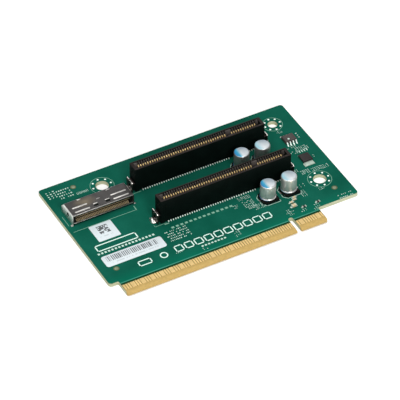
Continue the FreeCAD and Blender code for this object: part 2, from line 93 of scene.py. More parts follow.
def alongSlot(a, b, along):
    # outline drawn left to right and up, pushed along Y
    return (a, along, b)


def onCircle(x, y, radius, turn):
    return x + radius * math.cos(turn), y + radius * math.sin(turn)


def addLathe(bm, profile, x, y, steps):
    # turns (radius, height) about a standing axis, from the axis back to the axis
    rings = []
    for radius, height in profile:
        turns = [2 * math.pi * (step + 0.5) / steps for step in range(steps if radius else 1)]
        rings.append([bm.verts.new((*onCircle(x, y, radius, turn), height)) for turn in turns])
    for low, high in zip(rings, rings[1:]):
        for step in range(steps):
            loop = [ring[turn % len(ring)] for ring, turn in ((low, step), (low, (step + 1) % steps),
                                                              (high, (step + 1) % steps), (high, step))]
            bm.faces.new(list(dict.fromkeys(loop)))


def roundRect(x0, y0, x1, y1, radius, steps=4):
    outline = []
    for cx, cy, start in ((x1 - radius, y0 + radius, -90), (x1 - radius, y1 - radius, 0),
                          (x0 + radius, y1 - radius, 90), (x0 + radius, y0 + radius, 180)):
        for step in range(steps + 1):
            outline.append(onCircle(cx, cy, radius, math.radians(start + 90 * step / steps)))
    return outline


def bendPath(points, radius, steps=3, legShare=0.48):
    # rounds the corners of an open path as a press brake would, each bend inside its own two legs
    path = [Vector(points[0])]
    for before, corner, after in zip(points, points[1:], points[2:]):
        corner = Vector(corner)
        into = corner - Vector(before)
        out = Vector(after) - corner
        reach = min(radius * math.tan(into.angle(out) / 2), into.length * legShare, out.length * legShare)
        start = corner - into.normalized() * reach
        end = corner + out.normalized() * reach
        for step in range(steps + 1):
            share = step / steps
            path.append(start.lerp(corner, share).lerp(corner.lerp(end, share), share))
    path.append(Vector(points[-1]))
    return path


def stripOutline(path, thick):
    # both faces of a bent strip, as one closed outline
    left = []
    right = []
    for index, point in enumerate(path):
        along = (path[min(index + 1, len(path) - 1)] - path[max(index - 1, 0)]).normalized()
        across = Vector((-along.y, along.x)) * thick / 2
        left.append(tuple(point + across))
        right.append(tuple(point - across))
    return left + right[::-1]


def drawn(add, *shape):
    # a drawing that holds one shape
    bm = bmesh.new()
    add(bm, *shape)
    return bm


def linkPiece(name, bm):
    data = bpy.data.meshes.new(name)
    bm.to_mesh(data)
    bm.free()
    piece = bpy.data.objects.new(name, data)
    bpy.context.scene.collection.objects.link(piece)
    return piece


def newPiece(name, bm):
    bmesh.ops.recalc_face_normals(bm, faces=bm.faces)
    return linkPiece(name, bm)


def bakeModifiers(piece):
    view = bpy.context.evaluated_depsgraph_get()
    done = bpy.data.meshes.new_from_object(piece.evaluated_get(view))
    piece.modifiers.clear()
    piece.data = done


def roundOff(piece, width, segments=2, angle=50):
    bevel = piece.modifiers.new("roundOff", "BEVEL")
    bevel.width = width
    bevel.segments = segments
    bevel.limit_method = "ANGLE"
    bevel.angle_limit = math.radians(angle)
    bakeModifiers(piece)
    return piece


def cutAway(piece, bm):
    # cuts what is drawn in bm out of the piece
    cutter = newPiece("cutter", bm)
    cut = piece.modifiers.new("cutAway", "BOOLEAN")
    cut.operation = "DIFFERENCE"
    cut.solver = "EXACT"
    cut.object = cutter
    bakeModifiers(piece)
    bpy.data.objects.remove(cutter)


def softShading(piece, crease=38):
    # curves shade smoothly, and edges sharper than the crease angle stay crisp
    bm = bmesh.new()
    bm.from_mesh(piece.data)
    for face in bm.faces:
        face.smooth = True
    for edge in bm.edges:
        edge.smooth = len(edge.link_faces) == 2 and edge.calc_face_angle(0) < math.radians(crease)
    bm.to_mesh(piece.data)
    bm.free()


def joinPieces(name, *pieces):
    bm = bmesh.new()
    for piece in pieces:
        bm.from_mesh(piece.data)
        bpy.data.objects.remove(piece)
    return linkPiece(name, bm)


def finishPiece(piece, material, slot, *nodes):
    # scales the mesh from the board's millimetres into the frame, gives it its material and hides the nodes
    # it stands for
    piece.data.transform(toFrame)
    piece.data.materials.clear()
    piece.data.materials.append(material)
    softShading(piece)
    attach(piece, "root")
    if nodes:
        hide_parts(*nodes)


def paintNode(name, material):
    # a node that keeps its own shape gets a finish of its own
    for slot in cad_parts[name].material_slots:
        slot.material = material


# Node trees for what repeats

def startTree(name, inputs):
    tree = bpy.data.node_groups.new(name, "GeometryNodeTree")
    geometry = "NodeSocketGeometry"
    tree.interface.new_socket(name="Geometry", in_out="INPUT", socket_type=geometry)
    for label, kind in inputs.items():
        tree.interface.new_socket(name=label, in_out="INPUT", socket_type="NodeSocket" + kind)
    tree.interface.new_socket(name="Material", in_out="INPUT", socket_type="NodeSocketMaterial")
    tree.interface.new_socket(name="Geometry", in_out="OUTPUT", socket_type=geometry)
    return tree, tree.nodes.new("NodeGroupInput").outputs


def endTree(tree, given, instances):
    realize = tree.nodes.new("GeometryNodeRealizeInstances")
    paint = tree.nodes.new("GeometryNodeSetMaterial")
    result = tree.nodes.new("NodeGroupOutput")
    tree.links.new(instances, realize.inputs["Geometry"])
    tree.links.new(realize.outputs["Geometry"], paint.inputs["Geometry"])
    tree.links.new(given["Material"], paint.inputs["Material"])
    tree.links.new(paint.outputs["Geometry"], result.inputs["Geometry"])
    return tree


def treeMath(tree, operation, first, second):
    node = tree.nodes.new("ShaderNodeMath")
    node.operation = operation
    for socket, value in zip(node.inputs, (first, second)):
        if isinstance(value, (int, float)):
            socket.default_value = value
        else:
            tree.links.new(value, socket)
    return node.outputs[0]


def placeItem(tree, given, points, scale=None):
    place = tree.nodes.new("GeometryNodeInstanceOnPoints")
    tree.links.new(points, place.inputs["Points"])
    tree.links.new(given["Geometry"], place.inputs["Instance"])
    if scale:
        tree.links.new(scale, place.inputs["Scale"])
    return place.outputs["Instances"]


def lineOfPoints(tree, count, start, step):
    line = tree.nodes.new("GeometryNodeMeshLine")
    tree.links.new(count, line.inputs["Count"])
    for value, socket in ((start, "Start Location"), (step, "Offset")):
        vector = tree.nodes.new("ShaderNodeCombineXYZ")
        tree.links.new(value, vector.inputs["X"])
        tree.links.new(vector.outputs[0], line.inputs[socket])
    return line.outputs["Mesh"]


def buildKeyedRow():
    # the item at every contact of two runs, right and left of a key
    tree, given = startTree("keyedRow", {"Pitch": "Float", "Key Gap": "Float", "Short Count": "Int",
                                         "Long Count": "Int"})
    join = tree.nodes.new("GeometryNodeJoinGeometry")
    for count, side in (("Short Count", 1), ("Long Count", -1)):
        start = treeMath(tree, "MULTIPLY", given["Key Gap"], side / 2)
        step = treeMath(tree, "MULTIPLY", given["Pitch"], side)
        points = lineOfPoints(tree, given[count], start, step)
        tree.links.new(placeItem(tree, given, points), join.inputs["Geometry"])
    return endTree(tree, given, join.outputs["Geometry"])


def buildEvenRow():
    # items at an even pitch, centred on the one that is given
    tree, given = startTree("evenRow", {"Pitch": "Float", "Count": "Int"})
    gaps = treeMath(tree, "SUBTRACT", given["Count"], 1)
    span = treeMath(tree, "MULTIPLY", gaps, given["Pitch"])
    start = treeMath(tree, "MULTIPLY", span, -0.5)
    points = lineOfPoints(tree, given["Count"], start, given["Pitch"])
    return endTree(tree, given, placeItem(tree, given, points))


def buildRingOfItems():
    # items evenly round a circle
    tree, given = startTree("ringOfItems", {"Radius": "Float", "Count": "Int"})
    ring = tree.nodes.new("GeometryNodeMeshCircle")
    tree.links.new(given["Count"], ring.inputs["Vertices"])
    tree.links.new(given["Radius"], ring.inputs["Radius"])
    return endTree(tree, given, placeItem(tree, given, ring.outputs["Mesh"]))


def randomFloat(tree, seed, low=0.0, high=1.0):
    node = tree.nodes.new("FunctionNodeRandomValue")
    node.data_type = "FLOAT"
    floats = [socket for socket in node.inputs if socket.type == "VALUE"]
    floats[0].default_value = low
    floats[1].default_value = high
    tree.links.new(seed, node.inputs["Seed"])
    return next(socket for socket in node.outputs if socket.type == "VALUE")


def buildPrintField():
    # rows of little strokes of uneven length, some left out, as fine print looks from a step away
    stroke = {"seedStep": 7, "shortest": 0.4, "longest": 1.1}
    inputs = {"Length": "Float", "Depth": "Float", "Columns": "Int", "Rows": "Int", "Keep": "Float",
              "Seed": "Int"}
    tree, given = startTree("printField", inputs)
    grid = tree.nodes.new("GeometryNodeMeshGrid")
    for label, socket in (("Length", "Size X"), ("Depth", "Size Y"),
                          ("Columns", "Vertices X"), ("Rows", "Vertices Y")):
        tree.links.new(given[label], grid.inputs[socket])
    points = tree.nodes.new("GeometryNodeMeshToPoints")
    tree.links.new(grid.outputs["Mesh"], points.inputs["Mesh"])
    chance = randomFloat(tree, given["Seed"])
    drop = tree.nodes.new("GeometryNodeDeleteGeometry")
    tree.links.new(points.outputs["Points"], drop.inputs["Geometry"])
    tree.links.new(treeMath(tree, "GREATER_THAN", chance, given["Keep"]), drop.inputs["Selection"])
    seed = treeMath(tree, "ADD", given["Seed"], stroke["seedStep"])
    scale = tree.nodes.new("ShaderNodeCombineXYZ")
    tree.links.new(randomFloat(tree, seed, stroke["shortest"], stroke["longest"]), scale.inputs["X"])
    for axis in ("Y", "Z"):
        scale.inputs[axis].default_value = 1
    return endTree(tree, given, placeItem(tree, given, drop.outputs["Geometry"], scale.outputs[0]))


def runTree(name, bm, tree, values, offset=(0, 0, 0)):
    # repeats the item in bm by a tree, and leaves a plain mesh moved by offset
    piece = newPiece(name, bm)
    modifier = piece.modifiers.new(tree.name, "NODES")
    modifier.node_group = tree
    for socket in tree.interface.items_tree:
        if socket.in_out == "INPUT" and socket.name in values:
            modifier[socket.identifier] = values[socket.name]
    bakeModifiers(piece)
    piece.data.transform(Matrix.Translation(offset))
    return piece


def keyedValues(row, material, widen=0.0):
    return {"Pitch": row["pitch"], "Key Gap": row["keyGap"] + widen, "Short Count": row["short"],
            "Long Count": row["long"], "Material": material}


keyedRow = buildKeyedRow()
evenRow = buildEvenRow()
ringOfItems = buildRingOfItems()
printField = buildPrintField()
print("node trees built")


# Finishes

class Finish:
    # one material on Object coordinates, with short names for the nodes it is wired from
    def __init__(self, name, color, rough, metal=0.0, specular=0.5):
        self.material = bpy.data.materials.new(name)
        self.material.use_nodes = True
        self.tree = self.material.node_tree
        self.shader = self.tree.nodes["Principled BSDF"]
        self.shader.inputs["Base Color"].default_value = (*color, 1)
        self.shader.inputs["Roughness"].default_value = rough
        self.shader.inputs["Metallic"].default_value = metal
        self.shader.inputs["Specular IOR Level"].default_value = specular
        self.spot = self.tree.nodes.new("ShaderNodeTexCoord").outputs["Object"]

    def node(self, kind, given, **settings):
        # a new node, set up and fed, whose outputs are handed back
        node = self.tree.nodes.new("ShaderNode" + kind)
        for label, setting in settings.items():
            setattr(node, label, setting)
        for label, value in given.items():
            socket = node.inputs[label]
            if isinstance(value, bpy.types.NodeSocket):
                self.tree.links.new(value, socket)
            elif isinstance(value, tuple) and socket.type == "RGBA":
                socket.default_value = (*value, 1)
            else:
                socket.default_value = value
        return node.outputs

    def use(self, value, socket):
        self.tree.links.new(value, self.shader.inputs[socket])

    def math(self, operation, first, second=0.0):
        return self.node("Math", {0: first, 1: second}, operation=operation)[0]

    def times(self, first, second):
        return self.math("MULTIPLY", first, second)

    def above(self, value, limit):
        return self.math("GREATER_THAN", value, limit)

    def below(self, value, limit):
        return self.math("LESS_THAN", value, limit)

    def between(self, value, low, high):
        return self.times(self.above(value, low), self.below(value, high))

    def mapped(self, scale, location=(0, 0, 0)):
        return self.node("Mapping", {"Vector": self.spot, "Scale": scale, "Location": location})[0]

    def fromCorner(self, corner=Vector((0, 0, 0))):
        # the place in the board's millimetres, counted from a corner
        return self.mapped((1 / mm,) * 3, -(origin + corner * mm) / mm)

    def axes(self, vector):
        return self.node("SeparateXYZ", {0: vector})

    def facing(self):
        return self.axes(self.node("NewGeometry", {})["Normal"])

    def sheer(self, axis):
        # how far a face looks along an axis, either way
        return self.math("ABSOLUTE", self.facing()[axis])

    def noise(self, scale, detail=2.0, vector=None):
        return self.node("TexNoise", {"Vector": vector or self.spot, "Scale": scale, "Detail": detail})["Fac"]

    def drawnLines(self, grain):
        return self.noise(1, 3, self.mapped(grain))

    def cells(self, vector, scale):
        # one random number for each cell
        scaled = self.node("VectorMath", {0: vector, 1: scale}, operation="MULTIPLY")[0]
        floor = self.node("VectorMath", {0: scaled}, operation="FLOOR")[0]
        return self.node("TexWhiteNoise", {"Vector": floor})["Value"]

    def spread(self, value, low, high, start=0.0, end=1.0):
        return self.node("MapRange", {"Value": value, "From Min": low, "From Max": high,
                                      "To Min": start, "To Max": end})["Result"]

    def mix(self, share, first, second):
        return self.node("Mix", {"Factor": share, 6: first, 7: second}, data_type="RGBA")[2]

    def mottle(self, value, color, factor, low=0.35, high=0.7):
        # a colour that turns into a darker or lighter shade of itself where the noise is high
        return self.mix(self.spread(value, low, high), color, shadeOf(color, factor))

    def roughen(self, grain, low, high):
        self.use(self.spread(grain, 0.2, 0.8, low, high), "Roughness")

    def bump(self, height, strength, depth):
        given = {"Height": height, "Strength": strength, "Distance": depth * mm}
        self.use(self.node("Bump", given)["Normal"], "Normal")


def shadeOf(color, factor):
    return tuple(channel * factor for channel in color)


def makeLacquer():
    look = {
        "green": (0.006, 0.096, 0.064), "deepGreen": (0.003, 0.071, 0.045),
        "overCopper": (0.001, 0.124, 0.074), "teal": (0.09, 0.36, 0.27), "shadowGreen": (0.004, 0.035, 0.012),
        "bareTongue": (0.46, 0.315, 0.11), "betweenPads": (0.27, 0.19, 0.06),
        "clothLight": (0.50, 0.52, 0.38), "clothDark": (0.33, 0.33, 0.20),
        "bevelTo": 1.3, "padStart": 2.3, "shadowFrom": 5.05, "maskEdge": 5.1, "shadowTo": 6.1, "tealTo": 6.55,
        "brightTo": 12.0,
    }
    finish = Finish("boardLacquer", look["green"], 0.42, specular=0.01)
    y = finish.axes(finish.fromCorner())[1]
    cloud = finish.noise(70, 3)
    fine = finish.noise(1100)
    green = finish.mix(finish.spread(cloud, 0.35, 0.65), look["deepGreen"], look["green"])
    green = finish.mix(finish.spread(fine, 0.3, 0.7, 0.0, 0.3), green, look["deepGreen"])
    # the copper poured behind the edge connector makes the lacquer there brighter
    near = finish.spread(y, look["maskEdge"], look["brightTo"], 0.75, 0.0)
    green = finish.mix(near, green, look["overCopper"])
    line = finish.between(y, look["shadowTo"], look["tealTo"])
    green = finish.mix(finish.times(line, 0.45), green, look["teal"])
    green = finish.mix(finish.between(y, look["shadowFrom"], look["shadowTo"]), green, look["shadowGreen"])
    tan = finish.mottle(fine, look["bareTongue"], 0.85, 0.3, 0.7)
    tan = finish.mix(finish.above(y, look["padStart"]), tan, look["betweenPads"])
    face = finish.mix(finish.below(y, look["maskEdge"]), green, tan)
    # sides and hole walls show the glass cloth in section
    side = finish.times(finish.below(finish.sheer(2), 0.55), finish.above(y, look["bevelTo"]))
    layers = finish.noise(1, 2, finish.mapped((260, 260, 7000)))
    cloth = finish.mix(finish.spread(layers, 0.35, 0.65), look["clothLight"], look["clothDark"])
    finish.use(finish.mix(side, face, cloth), "Base Color")
    gloss = finish.spread(fine, 0.2, 0.8, 0.36, 0.48)
    finish.use(finish.math("ADD", finish.times(side, 0.3), gloss), "Roughness")
    finish.bump(finish.math("ADD", cloud, finish.times(layers, 0.3)), 0.2, 0.05)
    return finish.material


def makePlated(name, color, rough, grain=(500, 9000, 500), darkening=0.7, metal=1.0):
    # metal with fine drawn lines and a little tarnish
    finish = Finish(name, color, rough, metal=metal)
    drawnGrain = finish.drawnLines(grain)
    finish.use(finish.mottle(finish.noise(420, 3), color, darkening), "Base Color")
    finish.roughen(drawnGrain, rough - 0.08, rough + 0.14)
    finish.bump(drawnGrain, 0.2, 0.02)
    return finish.material


def makeMoulded(name, color, rough, specular=0.3, light=2.0, upper=None):
    # filled plastic: a slightly cloudy skin over a fine grain, with a painted brownish highlight on the faces
    # that look up where upper is given
    finish = Finish(name, color, rough, specular=specular)
    grain = finish.noise(3000, 3)
    flow = finish.noise(200, 3)
    skin = finish.mottle(flow, color, light, 0.4, 0.75)
    if upper:
        # faces that look up are painted a lighter brown, a painted highlight
        paintedTopSheen = finish.mottle(flow, upper, 0.6)
        skin = finish.mix(finish.spread(finish.facing()[2], 0.5, 0.95), skin, paintedTopSheen)
    finish.use(skin, "Base Color")
    finish.roughen(grain, rough - 0.06, rough + 0.1)
    finish.bump(grain, 0.35, 0.03)
    return finish.material


def makeClipSteel():
    # tinned on its cut edges; its faces that do not look up are painted nearly black, a painted dark
    # reflection
    look = {"tin": (0.90, 0.86, 0.82), "reflectedDark": (0.05, 0.04, 0.035)}
    finish = Finish("clipSteel", look["tin"], 0.36, metal=1.0)
    worn = finish.noise(900, 3)
    reflectedDarkFace = finish.mottle(worn, look["reflectedDark"], 1.6)
    # faces that do not look up get the painted dark reflection, mottled by the noise
    finish.use(finish.mix(finish.below(finish.facing()[2], 0.35), look["tin"], reflectedDarkFace), "Base Color")
    finish.bump(worn, 0.2, 0.02)
    return finish.material


def makeInk(name, color):
    # screen-printed ink, thin where the mesh of the screen missed
    finish = Finish(name, color, 0.65, specular=0.2)
    speckle = finish.noise(2600)
    finish.use(finish.mottle(speckle, color, 0.7, 0.45, 0.75), "Base Color")
    finish.bump(speckle, 0.2, 0.02)
    return finish.material


evenGrain = (900, 900, 900)
boardLacquer = makeLacquer()
padGold = makePlated("padGold", (0.86, 0.62, 0.27), 0.38, darkening=0.82)
springGold = makePlated("springGold", (1.0, 0.73, 0.34), 0.34, darkening=0.75)
cableGold = makePlated("cableGold", (0.64, 0.51, 0.31), 0.5, metal=0.7)
tinPlate = makePlated("tinPlate", (0.80, 0.76, 0.72), 0.34)
tailTin = makePlated("tailTin", (0.86, 0.97, 0.90), 0.4, evenGrain, 0.85, 0.15)
padTin = makePlated("padTin", (0.46, 0.56, 0.48), 0.45, evenGrain, 0.7, 0.3)
solderTin = makePlated("solderTin", (0.84, 0.84, 0.80), 0.26, evenGrain, 0.8)
nickelBright = makePlated("nickelBright", (0.86, 0.84, 0.80), 0.32, (9000, 500, 500))
# the wall's faces that look up get a painted brownish highlight
slotPlastic = makeMoulded("slotPlastic", (0.0012, 0.0030, 0.0024), 0.5, 0.04, 1.6, (0.030, 0.024, 0.022))
# the comb is the same black moulding as the wall, painted a lighter brown-grey for the highlights on its rib
# tops
combPlasticPaintedSheen = makeMoulded("combPlasticPaintedSheen", (0.036, 0.030, 0.027), 0.5, 0.3)
chipPlastic = makeMoulded("chipPlastic", (0.033, 0.028, 0.026), 0.5, 0.35)
powerPlastic = makeMoulded("powerPlastic", (0.013, 0.011, 0.011), 0.5, 0.25)
basePlastic = makeMoulded("basePlastic", (0.002, 0.003, 0.0025), 0.45, 0.12, 1.6)
whiteInk = makeInk("whiteInk", (0.50, 0.66, 0.58))
faintInk = makeInk("faintInk", (0.20, 0.40, 0.30))
brightInk = makeInk("brightInk", (0.66, 0.84, 0.76))
clipSteel = makeClipSteel()
print("finishes ready")


# The board, its contacts and its print

def addPad(bm, x, reach, low, high):
    # a gold pad with cut front corners, whose rear end runs under the lacquer
    pad = {"cornerCut": 0.08, "underLacquer": 0.13}
    cut = pad["cornerCut"]
    rear = high.y - pad["underLacquer"]
    outline = [(x - reach, low.y + cut), (x - reach + cut, low.y), (x + reach - cut, low.y),
               (x + reach, low.y + cut), (x + reach, rear), (x - reach, rear)]
    addPrism(bm, outline, onPlan, low.z, high.z)


def makeEdgePads():
    # neighbouring grounds share a wide pad, so the gap between theirs is filled
    joined = {"short": (2, 9), "long": (23, 27, 37, 41, 45, 54, 58, 62, 66, 70, 74, 78)}
    pitch = edgeRow["pitch"]
    half = edgeRow["keyGap"] / 2
    spots = [half + (edgeRow["short"] - contact - 0.5) * pitch for contact in joined["short"]]
    spots += [-half - (contact - edgeRow["short"] - 0.5) * pitch for contact in joined["long"]]
    for label in ("edge_contacts_upper", "edge_contacts_lower"):
        corners = boxOnBoard(label)
        pad = drawn(addPad, 0, edgeRow["padWidth"] / 2, *corners)
        row = runTree(label + "Row", pad, keyedRow, keyedValues(edgeRow, padGold))
        bm = bmesh.new()
        for x in spots:
            addPad(bm, x, (pitch - edgeRow["padWidth"]) / 2, *corners)
        pads = joinPieces(label + "_pads", row, newPiece(label + "Wide", bm))
        finishPiece(pads, padGold, "gold_plate", label)


holes = {
    "rearRight": {"x": 20.9, "y": 57.4, "viaRing": 3.2, "circle": 3.9},
    "frontRight": {"x": 20.9, "y": 21.3, "viaRing": 3.7, "circle": 4.6},
    "rearLeft": {"x": -53.0, "y": 57.4, "viaRing": 3.7, "circle": 4.6},
}


def makeHoleVias():
    via = {"profile": [(0, -0.02), (0.4, -0.02), (0.4, 0.01), (0.28, 0.084), (0, 0.12)],
           "count": 8, "steps": 12}
    rings = []
    for name, hole in holes.items():
        values = {"Radius": hole["viaRing"], "Count": via["count"], "Material": tailTin}
        item = drawn(addLathe, via["profile"], 0, 0, via["steps"])
        rings.append(runTree(name + "Vias", item, ringOfItems, values, (hole["x"], hole["y"], 0)))
    finishPiece(joinPieces("holeVias", *rings), tailTin, "tinned_steel")


ink = {"line": 0.16, "high": 0.02}


def addRing(bm, x, y, radius, width=ink["line"], steps=64, high=ink["high"]):
    # a flat washer of ink
    loops = []
    for side, height in ((-1, 0), (1, 0), (1, high), (-1, high)):
        reach = radius + side * width / 2
        turns = [2 * math.pi * step / steps for step in range(steps)]
        loops.append([bm.verts.new((*onCircle(x, y, reach, turn), height)) for turn in turns])
    for index, loop in enumerate(loops):
        following = loops[(index + 1) % 4]
        for step in range(steps):
            after = (step + 1) % steps
            bm.faces.new((loop[step], loop[after], following[after], following[step]))


def addStroke(bm, start, end, width=ink["line"]):
    # one printed line between two places
    start = Vector(start)
    end = Vector(end)
    along = (end - start).normalized() * width / 2
    across = Vector((-along.y, along.x))
    corners = (start - along - across, end + along - across, end + along + across, start - along + across)
    addPrism(bm, [tuple(corner) for corner in corners], onPlan, 0, ink["high"])


def addFrame(bm, x0, y0, x1, y1, width):
    # the outline of a box, in ink
    corners = ((x0, y0), (x1, y0), (x1, y1), (x0, y1))
    for start, end in zip(corners, corners[1:] + corners[:1]):
        addStroke(bm, start, end, width)


def makeCapacitorOutlines():
    values = {"gap": 0.35, "cut": 1.5, "open": 0.7}
    bm = bmesh.new()
    for number in range(1, 5):
        low, high = boxOnBoard(f"capacitor_{number}_base")
        left = low.x - values["gap"]
        right = high.x + values["gap"]
        middle = (low.y + high.y) / 2
        for side in (-1, 1):
            edge = middle + side * ((high.y - low.y) / 2 + values["gap"])
            opening = middle + side * values["open"]
            turn = edge - side * values["cut"]
            addStroke(bm, (left + values["cut"], edge), (right, edge))
            addStroke(bm, (right, edge), (right, opening))
            addStroke(bm, (left + values["cut"], edge), (left, turn))
            addStroke(bm, (left, turn), (left, opening))
    finishPiece(newPiece("capacitorOutlines", bm), whiteInk, "label_paper")


def makePrintedLines():
    # circles round the holes, corners round the slots and cable connector, a bar ahead of the front slot
    values = {"cable": {"ahead": 3.0, "left": 0.6, "right": 1.45, "tick": 2.2, "sideFrom": 4, "sideTo": 9.5},
              "slot": {"left": 1.6, "right": 3.2, "ahead": 0.35, "back": 0.6},
              "bar": ((-42.4, 26.75), (-41.0, 26.75), 0.45)}
    bm = bmesh.new()
    for hole in holes.values():
        addRing(bm, hole["x"], hole["y"], hole["circle"])
    cable = values["cable"]
    low, high = boxOnBoard("cable_connector_shell")
    front = low.y - cable["ahead"]
    left = low.x - cable["left"]
    right = high.x - cable["right"]
    addStroke(bm, (left, front), (right, front))
    addStroke(bm, (right, front), (right, front + cable["tick"]), ink["line"] * 2)
    addStroke(bm, (left, front + cable["sideFrom"]), (left, front + cable["sideTo"]))
    addStroke(bm, *values["bar"])
    slot = values["slot"]
    for name in ("front", "rear"):
        low, high = boxOnBoard(name + "_slot_housing")
        corner = (low.x - slot["left"], low.y - slot["ahead"])
        addStroke(bm, corner, (low.x + slot["right"], corner[1]))
        addStroke(bm, corner, (corner[0], low.y + slot["back"]))
    finishPiece(newPiece("printedLines", bm), faintInk, "label_paper")


def makeFinePrint():
    # each entry is the middle of a cluster, its size, its columns and rows, and how much is kept
    clusters = [
        (25.4, 47.3, 1.5, 2.4, 2, 3, 1.0), (23.9, 40.1, 4.6, 2.0, 7, 4, 0.85),
        (19.9, 39.0, 2.4, 1.3, 4, 3, 0.75), (18.2, 27.5, 3.0, 1.8, 5, 4, 0.8),
        (22.8, 27.1, 3.6, 1.5, 6, 3, 0.85), (26.4, 26.9, 2.4, 1.6, 4, 3, 0.8),
        (15.4, 29.2, 0.8, 1.8, 2, 4, 0.7), (25.6, 34.0, 0.6, 1.0, 1, 2, 1.0),
        (13.2, 21.3, 1.5, 1.2, 3, 2, 0.7), (11.4, 17.2, 1.6, 3.2, 3, 6, 0.8),
        (18.8, 16.4, 1.8, 0.8, 4, 2, 0.85), (20.9, 52.2, 1.8, 1.2, 4, 3, 0.75),
        (24.9, 8.9, 5.4, 1.6, 8, 2, 0.9), (20.2, 42.3, 4.2, 0.7, 6, 2, 0.7),
        (12.6, 9.0, 1.6, 1.2, 3, 2, 0.9), (11.3, 7.3, 0.9, 0.7, 2, 2, 0.9),
        (-67.4, 60.2, 4.8, 4.4, 6, 4, 0.85), (-72.3, 61.6, 2.8, 3.4, 3, 4, 0.8),
        (-61.2, 57.7, 4.4, 0.8, 9, 3, 1.0), (-9.6, 25.6, 4.6, 1.4, 8, 3, 0.85),
        (-9.4, 21.4, 3.8, 4.4, 6, 8, 0.6), (-6.4, 18.8, 4.2, 2.2, 7, 4, 0.75),
        (-40.6, 20.0, 8.4, 5.0, 13, 5, 0.75), (-21.2, 9.3, 1.8, 2.6, 3, 5, 0.65),
        (-14.6, 22.6, 1.6, 1.4, 3, 3, 0.8), (-45.2, 10.2, 2.2, 1.0, 4, 2, 0.6),
        (2.2, 9.6, 2.0, 1.6, 4, 3, 0.7), (-36.0, 8.0, 2.2, 0.8, 4, 2, 0.5),
        (0.6, 10.8, 2.4, 1.6, 4, 3, 0.45), (6.8, 8.9, 1.8, 0.8, 3, 2, 0.7),
    ]
    stroke = {"lengthShare": 0.34, "depthShare": 0.24, "least": 0.13}
    fields = []
    for seed, (x, y, length, depth, columns, rows, keep) in enumerate(clusters, start=1):
        reach = length / columns * stroke["lengthShare"]
        half = max(stroke["least"], depth / rows * stroke["depthShare"])
        item = drawn(addBlock, (-reach, -half, 0), (reach, half, ink["high"]))
        values = {"Length": length, "Depth": depth, "Columns": columns, "Rows": rows, "Keep": keep,
                  "Seed": seed, "Material": whiteInk}
        fields.append(runTree(f"print{seed}", item, printField, values, (x, y, 0)))
    finishPiece(joinPieces("finePrint", *fields), whiteInk, "label_paper")


def makePlainMarks():
    # boxes to tick, a box to write on and a ring, with no letter or sign among them
    marks = {"tickBox": {"start": -45.6, "pitch": 4.15, "count": 10, "low": 11.3, "size": 3.0, "line": 0.42},
             "writeOn": (-71.2, 25.3, -54.6, 28.3), "square": (-61.2, 10.9, -56.2, 13.3),
             "ring": (-50.8, 12.1, 1.35), "line": 0.45, "ringSteps": 32}
    box = marks["tickBox"]
    bm = bmesh.new()
    for index in range(box["count"]):
        x = box["start"] + index * box["pitch"]
        addFrame(bm, x, box["low"], x + box["size"], box["low"] + box["size"], box["line"])
    addFrame(bm, *marks["writeOn"], marks["line"])
    addFrame(bm, *marks["square"], marks["line"])
    addRing(bm, *marks["ring"], marks["line"], marks["ringSteps"])
    finishPiece(newPiece("plainBoxes", bm), brightInk, "label_paper")


def makeDotRows():
    # each row of dots: its middle, how far apart they are, how many, a dot's length and depth, and its ink
    rows = {
        "underBox": (-60.4, 23.9, 1.42, 17, 0.8, 0.9, whiteInk),
        "underTicks": (-31.2, 9.6, 1.35, 8, 0.8, 0.7, whiteInk),
        "underSlot": (-28.4, 23.9, 1.9, 14, 1.1, 0.9, faintInk),
        "behindPower": (23.6, 38.5, 1.03, 4, 0.35, 1.3, whiteInk),
    }
    for name, (x, y, pitch, count, length, depth, paint) in rows.items():
        item = drawn(addBlock, (-length / 2, -depth / 2, 0), (length / 2, depth / 2, ink["high"]))
        values = {"Pitch": pitch, "Count": count, "Material": paint}
        finishPiece(runTree(name + "Dots", item, evenRow, values, (x, y, 0)), paint, "label_paper")


def makeFiducials():
    values = {"spots": [(-63.0, 61.9), (23.3, 14.3), (-69.6, 14.1)], "steps": 28,
              "profile": [(0, 0), (0.72, 0), (0.72, 0.03), (0.66, 0.04), (0, 0.04)],
              "clearing": {"radius": 0.92, "width": 0.4, "steps": 40, "high": 0.012}}
    copper = makePlated("fiducialTin", (0.30, 0.35, 0.24), 0.5, evenGrain)
    bare = makeInk("bareLaminate", (0.09, 0.11, 0.05))
    bm = bmesh.new()
    around = bmesh.new()
    for x, y in values["spots"]:
        addLathe(bm, values["profile"], x, y, values["steps"])
        addRing(around, x, y, **values["clearing"])
    finishPiece(newPiece("fiducials", bm), copper, "tinned_steel")
    finishPiece(newPiece("fiducialClearings", around), bare, "green_laminate")


paintNode("pcb", boardLacquer)
makeEdgePads()
makeHoleVias()
makeCapacitorOutlines()
makePrintedLines()
makeFinePrint()
makePlainMarks()
makeDotRows()
makeFiducials()
print("board, contacts and print made")


# Card slots

slotRow = {"pitch": 1.0, "keyGap": 3.0, "short": 11, "long": 38, "key": -2.05}
slotBody = {"ear": 1.05, "endWall": 1.2, "skin": 0.6}


def slotPlan(name):
    # the housing's two corners, the line of its card, and the two ends of its body
    low, high = boxOnBoard(name + "_housing")
    return low, high, (low.y + high.y) / 2, low.x + slotBody["ear"], high.x - slotBody["ear"]


